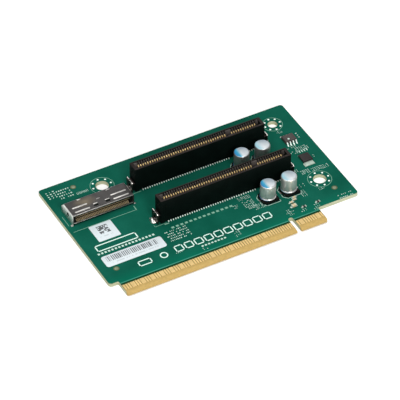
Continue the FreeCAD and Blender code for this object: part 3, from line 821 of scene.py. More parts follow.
def makeSlotWall(name):
    # the outer wall in one piece: a ring in plan, open for the comb and the channel
    values = {"corner": 0.35, "standOff": 0.5, "round": 0.16, "footRound": 0.1,
              "dimple": {"radius": 0.5, "up": 8.4, "deep": 0.25, "steps": 20},
              "foot": {"long": 1.8, "inset": 0.1},
              "ear": {"half": 2, "low": 0.9, "high": 4.0, "root": 0.3},
              "ridge": {"places": (1.3, 2.2), "wide": 0.25, "proud": 0.04, "drop": 0.6}}
    low, high, row, left, right = slotPlan(name)
    inner = (high.y - low.y) / 2 - slotBody["skin"]
    endWall = slotBody["endWall"]
    plan = roundRect(left, low.y, right, high.y, values["corner"])
    wall = newPiece(name + "Wall", drawn(addPrism, plan, onPlan, values["standOff"], high.z))
    roundOff(wall, values["round"])
    cutAway(wall, drawn(addBlock, (left + endWall, row - inner, -1),
                        (right - endWall, row + inner, high.z + 1)))
    dimple = values["dimple"]
    turns = [2 * math.pi * step / dimple["steps"] for step in range(dimple["steps"])]
    outline = [onCircle(row, dimple["up"], dimple["radius"], turn) for turn in turns]
    cutAway(wall, drawn(addPrism, outline, acrossSlot, left - 1, left + dimple["deep"]))

    # feet, ears and the two faint ridges beside the left end
    bm = bmesh.new()
    foot = values["foot"]
    ear = values["ear"]
    ridge = values["ridge"]
    for end, way in ((left, -1), (right, 1)):
        addBlock(bm, (end - way * foot["inset"], low.y + foot["inset"], 0),
                 (end - way * foot["long"], high.y - foot["inset"], values["standOff"]))
        addBlock(bm, (end - way * ear["root"], row - ear["half"], ear["low"]),
                 (end + way * slotBody["ear"], row + ear["half"], ear["high"]))
    for distance in ridge["places"]:
        for edge in (low.y, high.y):
            addBlock(bm, (left + distance, edge - ridge["proud"], values["standOff"]),
                     (left + distance + ridge["wide"], edge + ridge["proud"], high.z - ridge["drop"]))
    trim = roundOff(newPiece(name + "Trim", bm), values["footRound"], 1)
    wall = joinPieces(name + "_housing_wall", wall, trim)
    finishPiece(wall, slotPlastic, "black_moulding", name + "_housing")


def makeSlotComb(name):
    # ribs between the contacts, blocks at the ends and beside the key, a web across it and a rail below
    values = {"channel": 0.9, "cavity": 0.62, "floor": 2.6, "drop": 0.3, "leadIn": 0.32, "leadSteep": 2.4,
              "keyBlock": 1.19, "keyWeb": 0.6, "webDrop": 2.6, "overlap": 0.1, "seam": 0.05, "railEnd": 1}
    low, high, row, left, right = slotPlan(name)
    inner = (high.y - low.y) / 2 - slotBody["skin"] + values["overlap"]
    comb = high.z - values["drop"]
    channel = values["channel"]
    floor = values["floor"]
    lead = values["leadIn"]
    profile = [(channel, floor), (inner, floor), (inner, comb), (channel + lead, comb),
               (channel, comb - values["leadSteep"] * lead)]
    pitch = slotRow["pitch"]
    key = slotRow["key"]
    half = (pitch - values["cavity"]) / 2
    bm = bmesh.new()
    for side in (-1, 1):
        addPrism(bm, [(side * a, b) for a, b in profile], acrossSlot, -half, half)
    ribs = runTree(name + "Ribs", bm, keyedRow, keyedValues(slotRow, combPlasticPaintedSheen, pitch), (key, row, 0))
    shortEnd = key + slotRow["keyGap"] / 2 + (slotRow["short"] - 0.5) * pitch
    longEnd = key - slotRow["keyGap"] / 2 - (slotRow["long"] - 0.5) * pitch
    reach = slotBody["endWall"] - values["seam"]
    bm = bmesh.new()
    for first, second in ((left + reach, longEnd), (shortEnd, right - reach),
                          (key - values["keyBlock"], key + values["keyBlock"])):
        for side in (-1, 1):
            addPrism(bm, [(row + side * a, b) for a, b in profile], acrossSlot, first, second)
    web = values["keyWeb"]
    wide = channel + values["overlap"]
    narrow = channel - values["overlap"]
    addBlock(bm, (key - web, row - wide, floor), (key + web, row + wide, high.z - values["webDrop"]))
    addBlock(bm, (left + values["railEnd"], row - narrow, 0),
             (right - values["railEnd"], row + narrow, floor))
    blocks = newPiece(name + "Blocks", bm)
    finishPiece(joinPieces(name + "_housing_comb", ribs, blocks), combPlasticPaintedSheen, "black_moulding")


def makeSlotContacts(name, side, word):
    # a strip that rises out of the board, bows into the channel and curls back at its tip
    values = {"width": 0.43, "thick": 0.16, "bend": 0.8, "shoulder": 0.14,
              "path": ((2.4, 0.1), (1.55, 0.1), (1.4, 0.7), (1.42, 3.0), (1.2, 5.4), (0.62, 8.2),
                       (0.72, 9.05), (1.45, 9.3)),
              "joint": ((2.66, 0.0), (2.6, 0.2), (2.48, 0.4), (2.4, 0.46), (2.2, 0.46), (2.2, 0.0))}
    place = (slotRow["key"], slotPlan(name)[2], 0)
    half = values["width"] / 2
    strip = stripOutline(bendPath(values["path"], values["bend"], 2), values["thick"])
    item = drawn(addPrism, [(side * a, b) for a, b in strip], acrossSlot, -half, half)
    springs = runTree(f"{name}_{word}_springs", item, keyedRow, keyedValues(slotRow, springGold), place)
    finishPiece(springs, springGold, "spring_metal", f"{name}_{word}_contacts")
    # each tail steps down from the moulding, wetted with solder
    half = values["shoulder"]
    item = drawn(addPrism, [(side * a, b) for a, b in values["joint"]], acrossSlot, -half, half)
    return runTree(f"{name}_{word}_joints", item, keyedRow, keyedValues(slotRow, tailTin), place)


def makeHoldDown(name, end, way):
    # a bent clip behind the ear, its foot in a fillet of solder
    values = {"thick": 0.3, "bend": 0.35, "corner": 0.5, "round": 0.05, "past": 0.1,
              "window": {"half": 0.6, "low": 1.5, "high": 3.3},
              "notch": {"front": 0.2, "rear": 0.25, "deep": 0.4},
              "foot": {"narrowed": 1.3, "from": 0.4, "high": 0.7}}
    blob = {"profile": [(0, 0), (1, 0), (0.92, 0.14), (0.7, 0.5), (0.4, 0.95), (0.2, 1.15), (0, 1.2)],
            "steps": 24, "scale": (0.8, 1.5, 1.3), "out": 1.15, "back": 0.8}
    node = f"{name}_{end}_hold_down"
    low, high = boxOnBoard(node)
    face, toe = (high.x, low.x) if way < 0 else (low.x, high.x)
    middle = values["thick"] / 2
    middleY = (low.y + high.y) / 2
    past = values["past"]
    path = [(toe, middle), (face + way * middle, middle), (face + way * middle, high.z)]
    strip = stripOutline(bendPath(path, values["bend"] + middle, 4), values["thick"])
    clip = newPiece(node + "Clip", drawn(addPrism, strip, alongSlot, low.y, high.y))
    bm = bmesh.new()
    corner = values["corner"]
    near, far = toe - 2, toe + 3
    for edge, side in ((low.y, -1), (high.y, 1)):
        outline = [(edge + side * past, high.z - corner), (edge + side * past, high.z + past),
                   (edge - side * corner, high.z + past)]
        addPrism(bm, outline, acrossSlot, near, far)
    window = values["window"]
    notch = values["notch"]
    addBlock(bm, (near, middleY - window["half"], window["low"]),
             (far, middleY + window["half"], window["high"]))
    addBlock(bm, (near, middleY - notch["front"], high.z - notch["deep"]),
             (far, middleY + notch["rear"], high.z + 1))
    # the foot is only as wide as its pad
    foot = values["foot"]
    addBlock(bm, (toe + way * past, low.y - past, -past),
             (face + way * (foot["from"] - past), low.y + foot["narrowed"], foot["high"]))
    cutAway(clip, bm)
    roundOff(clip, values["round"], 2, 40)
    finishPiece(clip, clipSteel, "tinned_steel", node)
    bm = drawn(addLathe, blob["profile"], 0, 0, blob["steps"])
    bmesh.ops.scale(bm, vec=blob["scale"], verts=bm.verts)
    bmesh.ops.translate(bm, vec=(face + way * blob["out"], middleY + blob["back"], 0), verts=bm.verts)
    return newPiece(node + "Solder", bm)


def makeSlots():
    tails = []
    solder = []
    for name in ("front_slot", "rear_slot"):
        makeSlotWall(name)
        makeSlotComb(name)
        tails += [makeSlotContacts(name, -1, "front"), makeSlotContacts(name, 1, "rear")]
        solder += [makeHoldDown(name, "left", -1), makeHoldDown(name, "right", 1)]
    finishPiece(joinPieces("slotTails", *tails), tailTin, "tinned_steel")
    finishPiece(joinPieces("slotSolder", *solder), solderTin, "tinned_steel")


makeSlots()
print("card slots made")


# Cable connector

cableShell = {"legReach": 0.8, "barRise": 0.22, "windows": (-2.15, 2.85), "windowFront": 1.25,
              "windowDeep": 1.3}


def cablePlan():
    # the shell's side walls, its front, and the top of its sheet
    low, high = boxOnBoard("cable_connector_shell")
    reach = cableShell["legReach"]
    return low.x + reach, high.x - reach, low.y, high.z - cableShell["barRise"]


def makeShellFinish():
    # one nickel sheet coloured by the way its faces look, as painted shading: dark brown-grey on top,
    # blue-grey on the rear slope and brighter on the sides, with a warm patch near the left bars
    look = {"top": (0.098, 0.094, 0.092), "side": (0.80, 0.82, 0.78), "slope": (0.165, 0.15, 0.185),
            "slopeFrom": 50.0, "warmPatch": (0.36, 0.29, 0.18), "warmPatchAt": (-65.5, 47.6), "warmPatchStretch": 1.6,
            "warmPatchReach": 3.2}
    finish = Finish("nickelSheet", look["top"], 0.36, metal=1.0)
    x, y = finish.axes(finish.fromCorner())[:2]
    lines = finish.drawnLines((9000, 500, 500))
    across = finish.math("DIVIDE", finish.math("SUBTRACT", x, look["warmPatchAt"][0]), look["warmPatchStretch"])
    along = finish.math("SUBTRACT", y, look["warmPatchAt"][1])
    squared = finish.math("ADD", finish.times(across, across), finish.times(along, along))
    warmPatchShare = finish.spread(finish.math("SQRT", squared), 0.4, look["warmPatchReach"], 0.5, 0.0)
    color = finish.mix(warmPatchShare, look["top"], look["warmPatch"])
    # the rear slope is painted blue-grey, a painted reflection
    color = finish.mix(finish.above(y, look["slopeFrom"]), color, look["slope"])
    # the sides are painted bright, painted light on the same sheet
    color = finish.mix(finish.above(finish.sheer(0), 0.6), color, look["side"])
    worn = finish.spread(finish.noise(420, 3), 0.35, 0.7, 0.0, 0.35)
    finish.use(finish.mix(worn, color, shadeOf(look["top"], 0.6)), "Base Color")
    finish.roughen(lines, 0.28, 0.5)
    finish.bump(lines, 0.2, 0.02)
    return finish.material


def makeCableShell():
    # one folded sheet, open in front and below, with two windows in its top and a hole in each side
    values = {"thick": 0.3, "bend": 0.45, "topDepth": 7.95, "windowHalf": 1.0, "windowCut": (-0.6, 0.5),
              "hole": {"front": 3.6, "low": 2.05, "size": 1.4}}
    left, right, front, top = cablePlan()
    rear = boxOnBoard("cable_connector_shell")[1].y
    centre = (left + right) / 2
    crest = front + values["topDepth"]
    section = [(front, 0), (rear, 0), (rear, top - (rear - crest)), (crest, top), (front, top)]
    bm = drawn(addPrism, section, acrossSlot, left, right)
    bmesh.ops.recalc_face_normals(bm, faces=bm.faces)
    bm.normal_update()
    loose = [face for face in bm.faces if min(face.normal.y, face.normal.z) < -0.9]
    bmesh.ops.delete(bm, geom=loose, context="FACES_ONLY")
    folds = [edge for edge in bm.edges if len(edge.link_faces) == 2]
    bmesh.ops.bevel(bm, geom=folds, offset=values["bend"], segments=4, profile=0.5, affect="EDGES")
    sheet = linkPiece("shellSheet", bm)
    solid = sheet.modifiers.new("sheetThickness", "SOLIDIFY")
    solid.thickness = values["thick"]
    solid.offset = -1
    solid.use_even_offset = True
    bakeModifiers(sheet)
    bm = bmesh.new()
    half = values["windowHalf"]
    under, over = values["windowCut"]
    start = front + cableShell["windowFront"]
    for x in cableShell["windows"]:
        addBlock(bm, (centre + x - half, start, top + under),
                 (centre + x + half, start + cableShell["windowDeep"], top + over))
    hole = values["hole"]
    start = front + hole["front"]
    for x in (left, right):
        addBlock(bm, (x - 1, start, hole["low"]), (x + 1, start + hole["size"], hole["low"] + hole["size"]))
    cutAway(sheet, bm)
    finishPiece(sheet, makeShellFinish(), "nickel_shell", "cable_connector_shell")


def addBlockAt(bm, spot, corners, way=1):
    # a block given from a spot, mirrored left to right where way is -1
    addBlock(bm, *(Vector(spot) + Vector((way * x, y, z)) for x, y, z in corners))


def makeCableTrim():
    # bright trim: stiffening bars, latch tabs, bumps, the rolled front lips, legs and corner posts
    values = {"bars": ((-11.25, -4.95), (4.85, 11.35)), "barRows": (1.2, 3.6), "barWide": 0.62,
              "barHeights": (-0.1, 0.2), "tab": ((-0.95, -0.08, -0.25), (0.95, 0.34, 0.12)),
              "bumps": ((-6.7, 7.5, 0.08), (5.4, 7.3, 0.16), (0.0, 4.7, 0.01)), "bumpHalf": (0.8, 0.16, 0.2),
              "lipInset": 0.3, "lip": (0.28, -0.42, 0.02), "sill": (0.5, 1.0, 1.2),
              "leg": ((cableShell["legReach"], 0, 0), (-0.1, 0.9, 0.3)),
              "post": (0.02, 0.2, 0.5), "postDrop": 0.4, "round": 0.09}
    left, right, front, top = cablePlan()
    centre = (left + right) / 2
    wide = values["barWide"]
    low, high = values["barHeights"]
    bm = bmesh.new()
    for start, end in values["bars"]:
        for row in values["barRows"]:
            near = front + row
            plan = roundRect(centre + start, near, centre + end, near + wide, wide / 2 - 0.01, 5)
            addPrism(bm, plan, onPlan, top + low, top + high)
    windowRear = front + cableShell["windowFront"] + cableShell["windowDeep"]
    for x in cableShell["windows"]:
        addBlockAt(bm, (centre + x, windowRear, top), values["tab"])
    across, along, sunk = values["bumpHalf"]
    for x, y, rise in values["bumps"]:
        addBlockAt(bm, (centre + x, front + y, top), ((-across, -along, -sunk), (across, along, rise)))
    inset = values["lipInset"]
    deep, low, high = values["lip"]
    addBlock(bm, (left + inset, front, top + low), (right - inset, front + deep, top + high))
    deep, low, high = values["sill"]
    addBlock(bm, (left + inset, front, low), (right - inset, front + deep, high))
    proud, inside, deep = values["post"]
    for end, way in ((left, -1), (right, 1)):
        addBlockAt(bm, (end, front, 0), values["leg"], way)
        addBlockAt(bm, (end, front, 0), ((proud, proud, 0), (-inside, deep, top - values["postDrop"])), way)
    trim = roundOff(newPiece("cable_connector_trim", bm), values["round"])
    finishPiece(trim, nickelBright, "nickel_shell")


def makeCableMoulding():
    # a block behind the mouth, with a low wall that parts the contacts' front ends from their springs
    values = {"mouthWide": 23.2, "mouthLow": 1.1, "mouthHigh": 3.6, "mouthDeep": 6.0, "slopeLong": 2.2,
              "slopeHigh": 2.3, "gap": 0.02, "rearGap": 0.05, "round": 0.1,
              "wall": {"front": 1.25, "rear": 1.6, "high": 0.62, "root": 0.1}}
    low, high = boxOnBoard("cable_connector_moulding")
    centre = (low.x + high.x) / 2
    gap = values["gap"]
    top = high.z - gap
    rear = high.y - values["rearGap"]
    section = [(low.y, gap), (rear, gap), (rear, top - values["slopeHigh"]),
               (high.y - values["slopeLong"], top), (low.y, top)]
    body = newPiece("block", drawn(addPrism, section, acrossSlot, low.x + gap, high.x - gap))
    half = values["mouthWide"] / 2
    sill = values["mouthLow"]
    cutAway(body, drawn(addBlock, (centre - half, low.y - 1, sill),
                        (centre + half, low.y + values["mouthDeep"], values["mouthHigh"])))
    wall = values["wall"]
    reach = half + wall["root"]
    bm = drawn(addBlock, (centre - reach, low.y + wall["front"], sill - wall["root"]),
               (centre + reach, low.y + wall["rear"], sill + wall["high"]))
    body = roundOff(joinPieces("cable_connector_body", body, newPiece("wall", bm)), values["round"])
    finishPiece(body, basePlastic, "black_moulding", "cable_connector_moulding")

    contact = {"pitch": 0.6, "count": 37, "thick": 0.14, "half": 0.19, "bend": 0.6,
               "path": ((0.12, 0.06), (1.2, 0.42), (1.9, 0.5), (3.2, 1.1), (5.9, 0.05))}
    rows = []
    for level, way in ((sill, 1), (values["mouthHigh"], -1)):
        path = [(low.y + back, level + way * up) for back, up in contact["path"]]
        strip = stripOutline(bendPath(path, contact["bend"], 2), contact["thick"])
        item = drawn(addPrism, strip, acrossSlot, -contact["half"], contact["half"])
        row = {"Pitch": contact["pitch"], "Count": contact["count"], "Material": cableGold}
        rows.append(runTree(f"cableRow{way}", item, evenRow, row, (centre, 0, 0)))
    finishPiece(joinPieces("cable_connector_contacts", *rows), cableGold, "spring_metal")


makeCableShell()
makeCableTrim()
makeCableMoulding()
print("cable connector made")


# Capacitors

def makeCanFinish(name, centre, darkening, edgeTint, chordTint, soft):
    # aluminium, with one ink segment on the top that pales towards its chord
    look = {"metal": (0.82, 0.82, 0.80), "topFront": (0.90, 0.93, 0.94), "topRear": (0.32, 0.39, 0.44),
            "flare": (0.62, 0.58, 0.55), "chord": -0.85, "radius": 2.7, "flareTop": 1.75}
    chord = look["chord"]
    radius = look["radius"]
    finish = Finish(name, look["metal"], 0.34, metal=1.0)
    x, y, z = finish.axes(finish.fromCorner(centre))
    lines = finish.drawnLines((400, 400, 9000))
    patch = finish.noise(380)
    # the rear pair's sides are painted darker here, a painted shade from the front slot
    side = finish.mottle(patch, shadeOf(look["metal"], darkening), 0.86)
    # the rolled ring at the foot is tinted pinkish, a painted reflection
    side = finish.mix(finish.below(z, look["flareTop"]), side, look["flare"])
    up = finish.above(finish.facing()[2], 0.8)
    inked = finish.times(finish.spread(x, chord - soft, chord + soft, 1.0, 0.0), up)
    tint = finish.mix(finish.spread(x, -radius, chord), edgeTint, chordTint)
    # the top is painted light at the front and darker towards the rear, a painted reflection
    slant = finish.math("ADD", finish.times(x, 0.4), y)
    bare = finish.mix(finish.spread(slant, -radius, radius), look["topFront"], look["topRear"])
    bare = finish.mix(finish.spread(patch, 0.4, 0.65, 0.0, 0.2), bare, look["topRear"])
    finish.use(finish.mix(up, side, finish.mix(inked, bare, tint)), "Base Color")
    # the brushed side scatters light, the rolled ring under it and the top mirror it
    brushed = finish.times(finish.above(z, look["flareTop"]), finish.math("SUBTRACT", 1.0, up))
    shiny = finish.spread(inked, 0.0, 1.0, 1.0, 0.25)
    finish.use(finish.math("SUBTRACT", shiny, finish.times(brushed, 0.12)), "Metallic")
    finish.roughen(lines, 0.30, 0.46)
    finish.bump(lines, 0.15, 0.02)
    return finish.material


def makeCan(name, ink):
    # turned in one piece, from the rolled ring at its foot over the neck to the dished top
    values = {"neck": ((0, 0), (2.7, 0), (3.15, 0.12), (3.15, 0.26), (3.0, 0.36), (2.86, 0.5), (2.82, 0.66),
                       (2.88, 0.82), (3.0, 0.94), (3.02, 1.1)),
              "edge": 0.5, "edgeSteps": 6, "rim": (0.1, 0.16), "dish": 0.05, "steps": 56,
              "rearShade": 0.5, "rearFrom": 30}
    low, high = boxOnBoard(name + "_can")
    centre = (low + high) / 2
    edge = values["edge"]
    shoulder = values["neck"][-1][0] - edge
    top = high.z - values["dish"]
    profile = [(radius, low.z + up) for radius, up in values["neck"]]
    for step in range(values["edgeSteps"] + 1):
        turn = math.radians(90 * step / values["edgeSteps"])
        profile.append(onCircle(shoulder, high.z - edge, edge, turn))
    profile += [(shoulder - step, top) for step in values["rim"]] + [(0, top)]
    can = newPiece(name + "_turned_can", drawn(addLathe, profile, centre.x, centre.y, values["steps"]))
    # the rear pair gets its sides painted darker, a painted shade from the front slot
    darkening = values["rearShade"] if centre.y > values["rearFrom"] else 1.0
    finish = makeCanFinish(name + "Finish", Vector((centre.x, centre.y, 0)), darkening, *ink)
    finishPiece(can, finish, "aluminium_can", name + "_can")


def makeCapacitorBase(name):
    # a plate with two cut corners, four corner blocks and the disc that the can stands on
    values = {"cut": 1.3, "low": 0.02, "high": 0.85, "blockHalf": 0.7, "blockLow": 0.5, "blockIn": 0.8,
              "cutBlockIn": 1.2, "disc": 2.95, "discSteps": 40, "seat": 0.02, "round": 0.1}
    low, high = boxOnBoard(name + "_base")
    canLow, canHigh = boxOnBoard(name + "_can")
    centre = (canLow + canHigh) / 2
    cut = values["cut"]
    plan = [(low.x + cut, low.y), (high.x, low.y), (high.x, high.y), (low.x + cut, high.y),
            (low.x, high.y - cut), (low.x, low.y + cut)]
    bm = drawn(addPrism, plan, onPlan, values["low"], values["high"])
    half = values["blockHalf"]
    under = values["blockLow"]
    inset = values["blockIn"]
    cutInset = values["cutBlockIn"]
    for x, y in ((low.x + cutInset, low.y + cutInset), (high.x - inset, low.y + inset),
                 (high.x - inset, high.y - inset), (low.x + cutInset, high.y - cutInset)):
        addBlock(bm, (x - half, y - half, under), (x + half, y + half, high.z))
    over = canLow.z + values["seat"]
    disc = [(0, under), (values["disc"], under), (values["disc"], over), (0, over)]
    addLathe(bm, disc, centre.x, centre.y, values["discSteps"])
    base = roundOff(newPiece(name + "_moulded_base", bm), values["round"])
    finishPiece(base, basePlastic, "black_moulding", name + "_base")


def makeCapacitors():
    # every other can has a deeper and sharper ink segment; on the others the same blue is painted paler and
    # softer, a painted highlight washing it out
    deepInk = ((0.003, 0.16, 0.38), (0.03, 0.34, 0.48), 0.6)
    highlightWashedInk = ((0.24, 0.46, 0.54), (0.38, 0.54, 0.60), 0.9)
    for number in range(1, 5):
        name = f"capacitor_{number}"
        makeCan(name, deepInk if number % 2 else highlightWashedInk)
        makeCapacitorBase(name)
        paintNode(name + "_tabs", tinPlate)


makeCapacitors()
print("capacitors made")


# Chips

def makeMouldedChip(node, label, plastic, draft, dot, setBack=0.0):
    # a moulded body with drafted sides and a parting line half way up, its front set back from the tab
    mark = {"radius": 0.42, "root": -0.05, "rise": 0.008, "steps": 24}
    low, high = boxOnBoard(node)
    low.y += setBack
    rings = []
    bm = bmesh.new()
    for height, inset in ((low.z, draft), ((low.z + high.z) / 2, 0), (high.z, draft)):
        corners = ((low.x + inset, low.y + inset), (high.x - inset, low.y + inset),
                   (high.x - inset, high.y - inset), (low.x + inset, high.y - inset))
        rings.append([bm.verts.new((x, y, height)) for x, y in corners])
    for lower, upper in zip(rings, rings[1:]):
        for index in range(4):
            after = (index + 1) % 4
            bm.faces.new((lower[index], lower[after], upper[after], upper[index]))
    bm.faces.new(rings[0][::-1])
    bm.faces.new(rings[-1])
    body = roundOff(newPiece(label, bm), 0.07, 2, 20)
    finishPiece(body, plastic, "black_moulding", node)
    if dot:
        root = high.z + mark["root"]
        rise = high.z + mark["rise"]
        profile = [(0, root), (mark["radius"], root), (mark["radius"], rise), (0, rise)]
        bm = drawn(addLathe, profile, low.x + dot[0], low.y + dot[1], mark["steps"])
        finishPiece(newPiece(label + "_mark", bm), whiteInk, "label_paper")


def makeGullLeads():
    # gull-wing leads on both sides of the eight-lead chip, each toe in a bead of solder
    values = {"half": 0.21, "thick": 0.2, "pitch": 1.27, "count": 4, "root": 0.2, "knee": 0.3, "slope": 0.25,
              "bend": 0.22, "flat": 0.1,
              "bead": ((0, 0), (0.3, 0), (0.27, 0.12), (0.12, 0.22), (0, 0.23)),
              "beadBack": 0.06, "beadSteps": 10}
    low, high = boxOnBoard("driver_chip_body")
    outLow, outHigh = boxOnBoard("driver_chip_leads")
    shoulder = (low.z + high.z) / 2 + values["flat"]
    knee = values["knee"]
    rows = []
    for root, toe, way in ((low.y, outLow.y, -1), (high.y, outHigh.y, 1)):
        path = [(root - way * values["root"], shoulder), (root + way * knee, shoulder),
                (root + way * (knee + values["slope"]), values["flat"]), (toe, values["flat"])]
        strip = stripOutline(bendPath(path, values["bend"]), values["thick"])
        bm = drawn(addPrism, strip, acrossSlot, -values["half"], values["half"])
        addLathe(bm, values["bead"], 0, toe - values["beadBack"], values["beadSteps"])
        row = {"Pitch": values["pitch"], "Count": values["count"], "Material": tailTin}
        rows.append(runTree(f"gull{way}", bm, evenRow, row, ((low.x + high.x) / 2, 0, 0)))
    finishPiece(joinPieces("driver_chip_gull_leads", *rows), tailTin, "tinned_steel", "driver_chip_leads")


def makePowerLeads():
    # the heat tab in front on its wider pad, and four short leads behind, all wetted with solder
    values = {"tabUnder": 1.0, "tabHigh": 0.3, "round": 0.1,
              "pad": {"left": 0.5, "right": 0.1, "front": 0.05, "under": 0.6, "corner": 0.15, "high": 0.06},
              "lead": {"half": 0.25, "under": 0.8, "high": 0.25, "pitch": 1.0, "count": 4},
              "bead": ((0, 0), (0.38, 0), (0.32, 0.14), (0.14, 0.3), (0, 0.32)),
              "beadBack": 0.1, "beadSteps": 10}
    low, high = boxOnBoard("power_transistor_leads")
    bodyLow, bodyHigh = boxOnBoard("power_transistor_body")
    tab = drawn(addBlock, (low.x, low.y, 0), (high.x, bodyLow.y + values["tabUnder"], values["tabHigh"]))
    tab = roundOff(newPiece("powerTab", tab), values["round"])
    pad = values["pad"]
    plan = roundRect(low.x - pad["left"], low.y - pad["front"], high.x + pad["right"],
                     bodyLow.y + pad["under"], pad["corner"])
    finishPiece(newPiece("powerPad", drawn(addPrism, plan, onPlan, 0, pad["high"])), padTin, "tinned_steel")
    lead = values["lead"]
    bm = drawn(addBlock, (-lead["half"], bodyHigh.y - lead["under"], 0), (lead["half"], high.y, lead["high"]))
    addLathe(bm, values["bead"], 0, high.y - values["beadBack"], values["beadSteps"])
    row = {"Pitch": lead["pitch"], "Count": lead["count"], "Material": padTin}
    leads = runTree("powerLeads", bm, evenRow, row, ((low.x + high.x) / 2, 0, 0))
    finishPiece(joinPieces("power_transistor_tinned_leads", tab, leads), padTin, "tinned_steel",
                "power_transistor_leads")


def makeCeramicFinish():
    # the capacitors behind are tan, the resistors in front of them nearly black
    look = {"tan": (0.56, 0.45, 0.28), "black": (0.03, 0.022, 0.02), "tanFrom": 11.5}
    finish = Finish("chipCeramic", look["tan"], 0.5, specular=0.4)
    y = finish.axes(finish.fromCorner())[1]
    grain = finish.noise(1800)
    tan = finish.mottle(grain, look["tan"], 0.8)
    finish.use(finish.mix(finish.below(y, look["tanFrom"]), tan, look["black"]), "Base Color")
    finish.bump(grain, 0.2, 0.02)
    return finish.material


def makeChipParts():
    # the half sizes, height and middles of the parts of each size, all lying along the card
    kinds = (
        (1.0, 0.625, 0.9, [(4.6, 12.5)]),
        (0.8, 0.4, 0.5, [(4.8, 14.7), (7.1, 16.75), (6.55, 15.6), (7.8, 10.4), (13.7, 10.35)]),
    )
    values = {"cap": 0.34, "lift": 0.03, "inset": (0.05, 0.03), "beadOut": 0.05, "beadSteps": 14}
    bead = ((0, 0), (0.8, 0), (0.7, 0.1), (0.4, 0.22), (0, 0.26))
    lift = values["lift"]
    alongIn, acrossIn = values["inset"]
    bodies = bmesh.new()
    caps = bmesh.new()
    joints = bmesh.new()
    for reach, half, high, places in kinds:
        for x, y in places:
            addBlock(bodies, (x - reach + alongIn, y - half + acrossIn, lift * 2),
                     (x + reach - alongIn, y + half - acrossIn, high - lift))
            for side in (-1, 1):
                addBlock(caps, (x + side * (reach - values["cap"]), y - half, lift),
                         (x + side * reach, y + half, high))
                addLathe(joints, [(half * share, up) for share, up in bead],
                         x + side * (reach + values["beadOut"]), y, values["beadSteps"])
    finishPiece(roundOff(newPiece("chip_bodies", bodies), 0.04), makeCeramicFinish(), "chip_ceramic",
                "chip_part_bodies")
    ends = roundOff(newPiece("chipCaps", caps), 0.05)
    finishPiece(joinPieces("chip_caps", ends, newPiece("chipJoints", joints)), padTin, "tinned_steel",
                "chip_part_end_caps")


makeMouldedChip("driver_chip_body", "driver_chip_moulding", chipPlastic, 0.14, (1.85, 1.25))
makeMouldedChip("power_transistor_body", "power_transistor_moulding", powerPlastic, 0.1, None, 0.6)
makeGullLeads()
makePowerLeads()
makeChipParts()
print("chips made")


# Labels

def labelInk(finish, spot, area, pattern, strength):
    # a printed area of a label: where it lies, what fills it and how dark it is
    x, y = finish.axes(spot)[:2]
    left, front, right, rear = area
    inside = finish.times(finish.between(x, left, right), finish.between(y, front, rear))
    return finish.times(finish.times(inside, pattern), strength)


def captionInk(finish, spot, area, marks, kept, strength):
    # a faint line of print, with so many marks to the millimetre and some left out
    faint = finish.below(finish.cells(spot, (marks, 0, 0)), kept)
    return labelInk(finish, spot, area, faint, strength)


def matrixPrint(finish, spot):
    # a block of random cells, left of the middle, and a faint line of print in front of it
    cell = 0.44
    dark = finish.below(finish.cells(spot, (1 / cell, 1 / cell, 0)), 0.62)
    block = labelInk(finish, spot, (2.4, 3.5, 6.8, 7.9), dark, 0.9)
    return finish.math("ADD", block, captionInk(finish, spot, (1.4, 1.9, 8.0, 2.4), 3.2, 0.5, 0.25))


def barPrint(finish, spot):
    # random bars in the rear half, and a faint line of print in front
    barsPerMm = 1.35
    wide = finish.spread(finish.cells(spot, (barsPerMm, 0, 0)), 0.0, 1.0, 0.25, 0.8)
    place = finish.math("FRACT", finish.times(finish.axes(spot)[0], barsPerMm))
    bars = labelInk(finish, spot, (1.6, 2.6, 23.0, 5.4), finish.below(place, wide), 0.85)
    return finish.math("ADD", bars, captionInk(finish, spot, (3.0, 1.2, 22.0, 1.8), 2.2, 0.55, 0.22))


def makeLabelFinish(name, corner, build):
    look = {"paper": (0.57, 0.63, 0.655), "ink": (0.03, 0.032, 0.036)}
    finish = Finish(name, look["paper"], 0.5, specular=0.3)
    fibre = finish.noise(1500, 3)
    paper = finish.mottle(fibre, look["paper"], 0.93)
    finish.use(finish.mix(build(finish, finish.fromCorner(corner)), paper, look["ink"]), "Base Color")
    finish.bump(fibre, 0.15, 0.03)
    return finish.material


def makeLabels():
    for node, corner, build in (("square_label", 0.4, matrixPrint), ("bar_label", 1.0, barPrint)):
        low, high = boxOnBoard(node)
        plan = roundRect(low.x, low.y, high.x, high.y, corner, 6)
        paper = roundOff(newPiece(node + "_paper", drawn(addPrism, plan, onPlan, 0.01, high.z)), 0.03)
        finishPiece(paper, makeLabelFinish(node + "Finish", low, build), "label_paper", node)


makeLabels()
print("labels made")


# Floor, light and camera

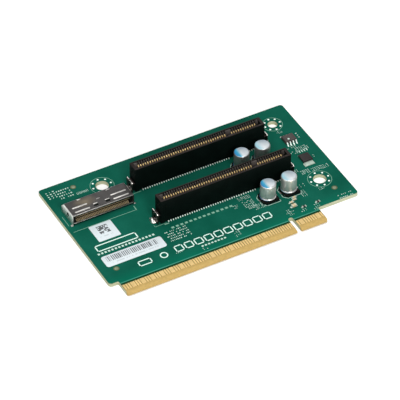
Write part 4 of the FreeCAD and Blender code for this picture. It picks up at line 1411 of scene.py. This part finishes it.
def makeStage():
    values = {"reach": 3000, "thick": 20, "gap": 0.02}
    reach = values["reach"]
    under = -boardThick
    bm = drawn(addBlock, (-reach, -reach, under - values["thick"]), (reach, reach, under - values["gap"]))
    floor = newPiece("floor", bm)
    floor.data.transform(toFrame)
    floor.data.materials.append(Finish("floorPaper", (0.93, 0.93, 0.93), 0.9, specular=0.1).material)


def makeLights():
    skyStrength = 0.40
    lights = {
        "key": {"place": (-120, 60, 900), "size": 600, "power": 5.0},
        "front": {"place": (-60, -700, 500), "size": 260, "power": 5.0},
        "rear": {"place": (330, 600, 640), "size": 420, "power": 0.5},
        "left": {"place": (-700, -200, 400), "size": 400, "power": 0.9},
    }
    world = bpy.data.worlds.new("softWhite")
    world.use_nodes = True
    sky = world.node_tree.nodes["Background"]
    sky.inputs["Color"].default_value = (1, 1, 1, 1)
    sky.inputs["Strength"].default_value = skyStrength
    bpy.context.scene.world = world
    for name, light in lights.items():
        data = bpy.data.lights.new(name, "AREA")
        data.size = light["size"] * mm
        data.energy = light["power"]
        lamp = bpy.data.objects.new(name, data)
        lamp.location = Vector(light["place"]) * mm
        lamp.rotation_euler = (-lamp.location).to_track_quat("-Z", "Y").to_euler()
        bpy.context.scene.collection.objects.link(lamp)
    bpy.context.scene.view_settings.view_transform = "Standard"


def makeCamera():
    view = {"azimuth": -28.69, "elevation": 41.77, "distance": 1273.6, "lens": 305.3,
            "aim": (-24.545, 32.477, 0)}
    turn = math.radians(view["azimuth"])
    rise = math.radians(view["elevation"])
    back = Vector((math.sin(turn) * math.cos(rise), -math.cos(turn) * math.cos(rise), math.sin(rise)))
    data = bpy.data.cameras.new("camera")
    data.lens = view["lens"]
    data.sensor_width = 36
    data.clip_end = 10
    camera = bpy.data.objects.new("camera", data)
    camera.location = origin + (Vector(view["aim"]) + back * view["distance"]) * mm
    camera.rotation_euler = back.to_track_quat("Z", "Y").to_euler()
    bpy.context.scene.collection.objects.link(camera)
    bpy.context.scene.camera = camera


makeStage()
makeLights()
makeCamera()
print("stage, lights and camera set")
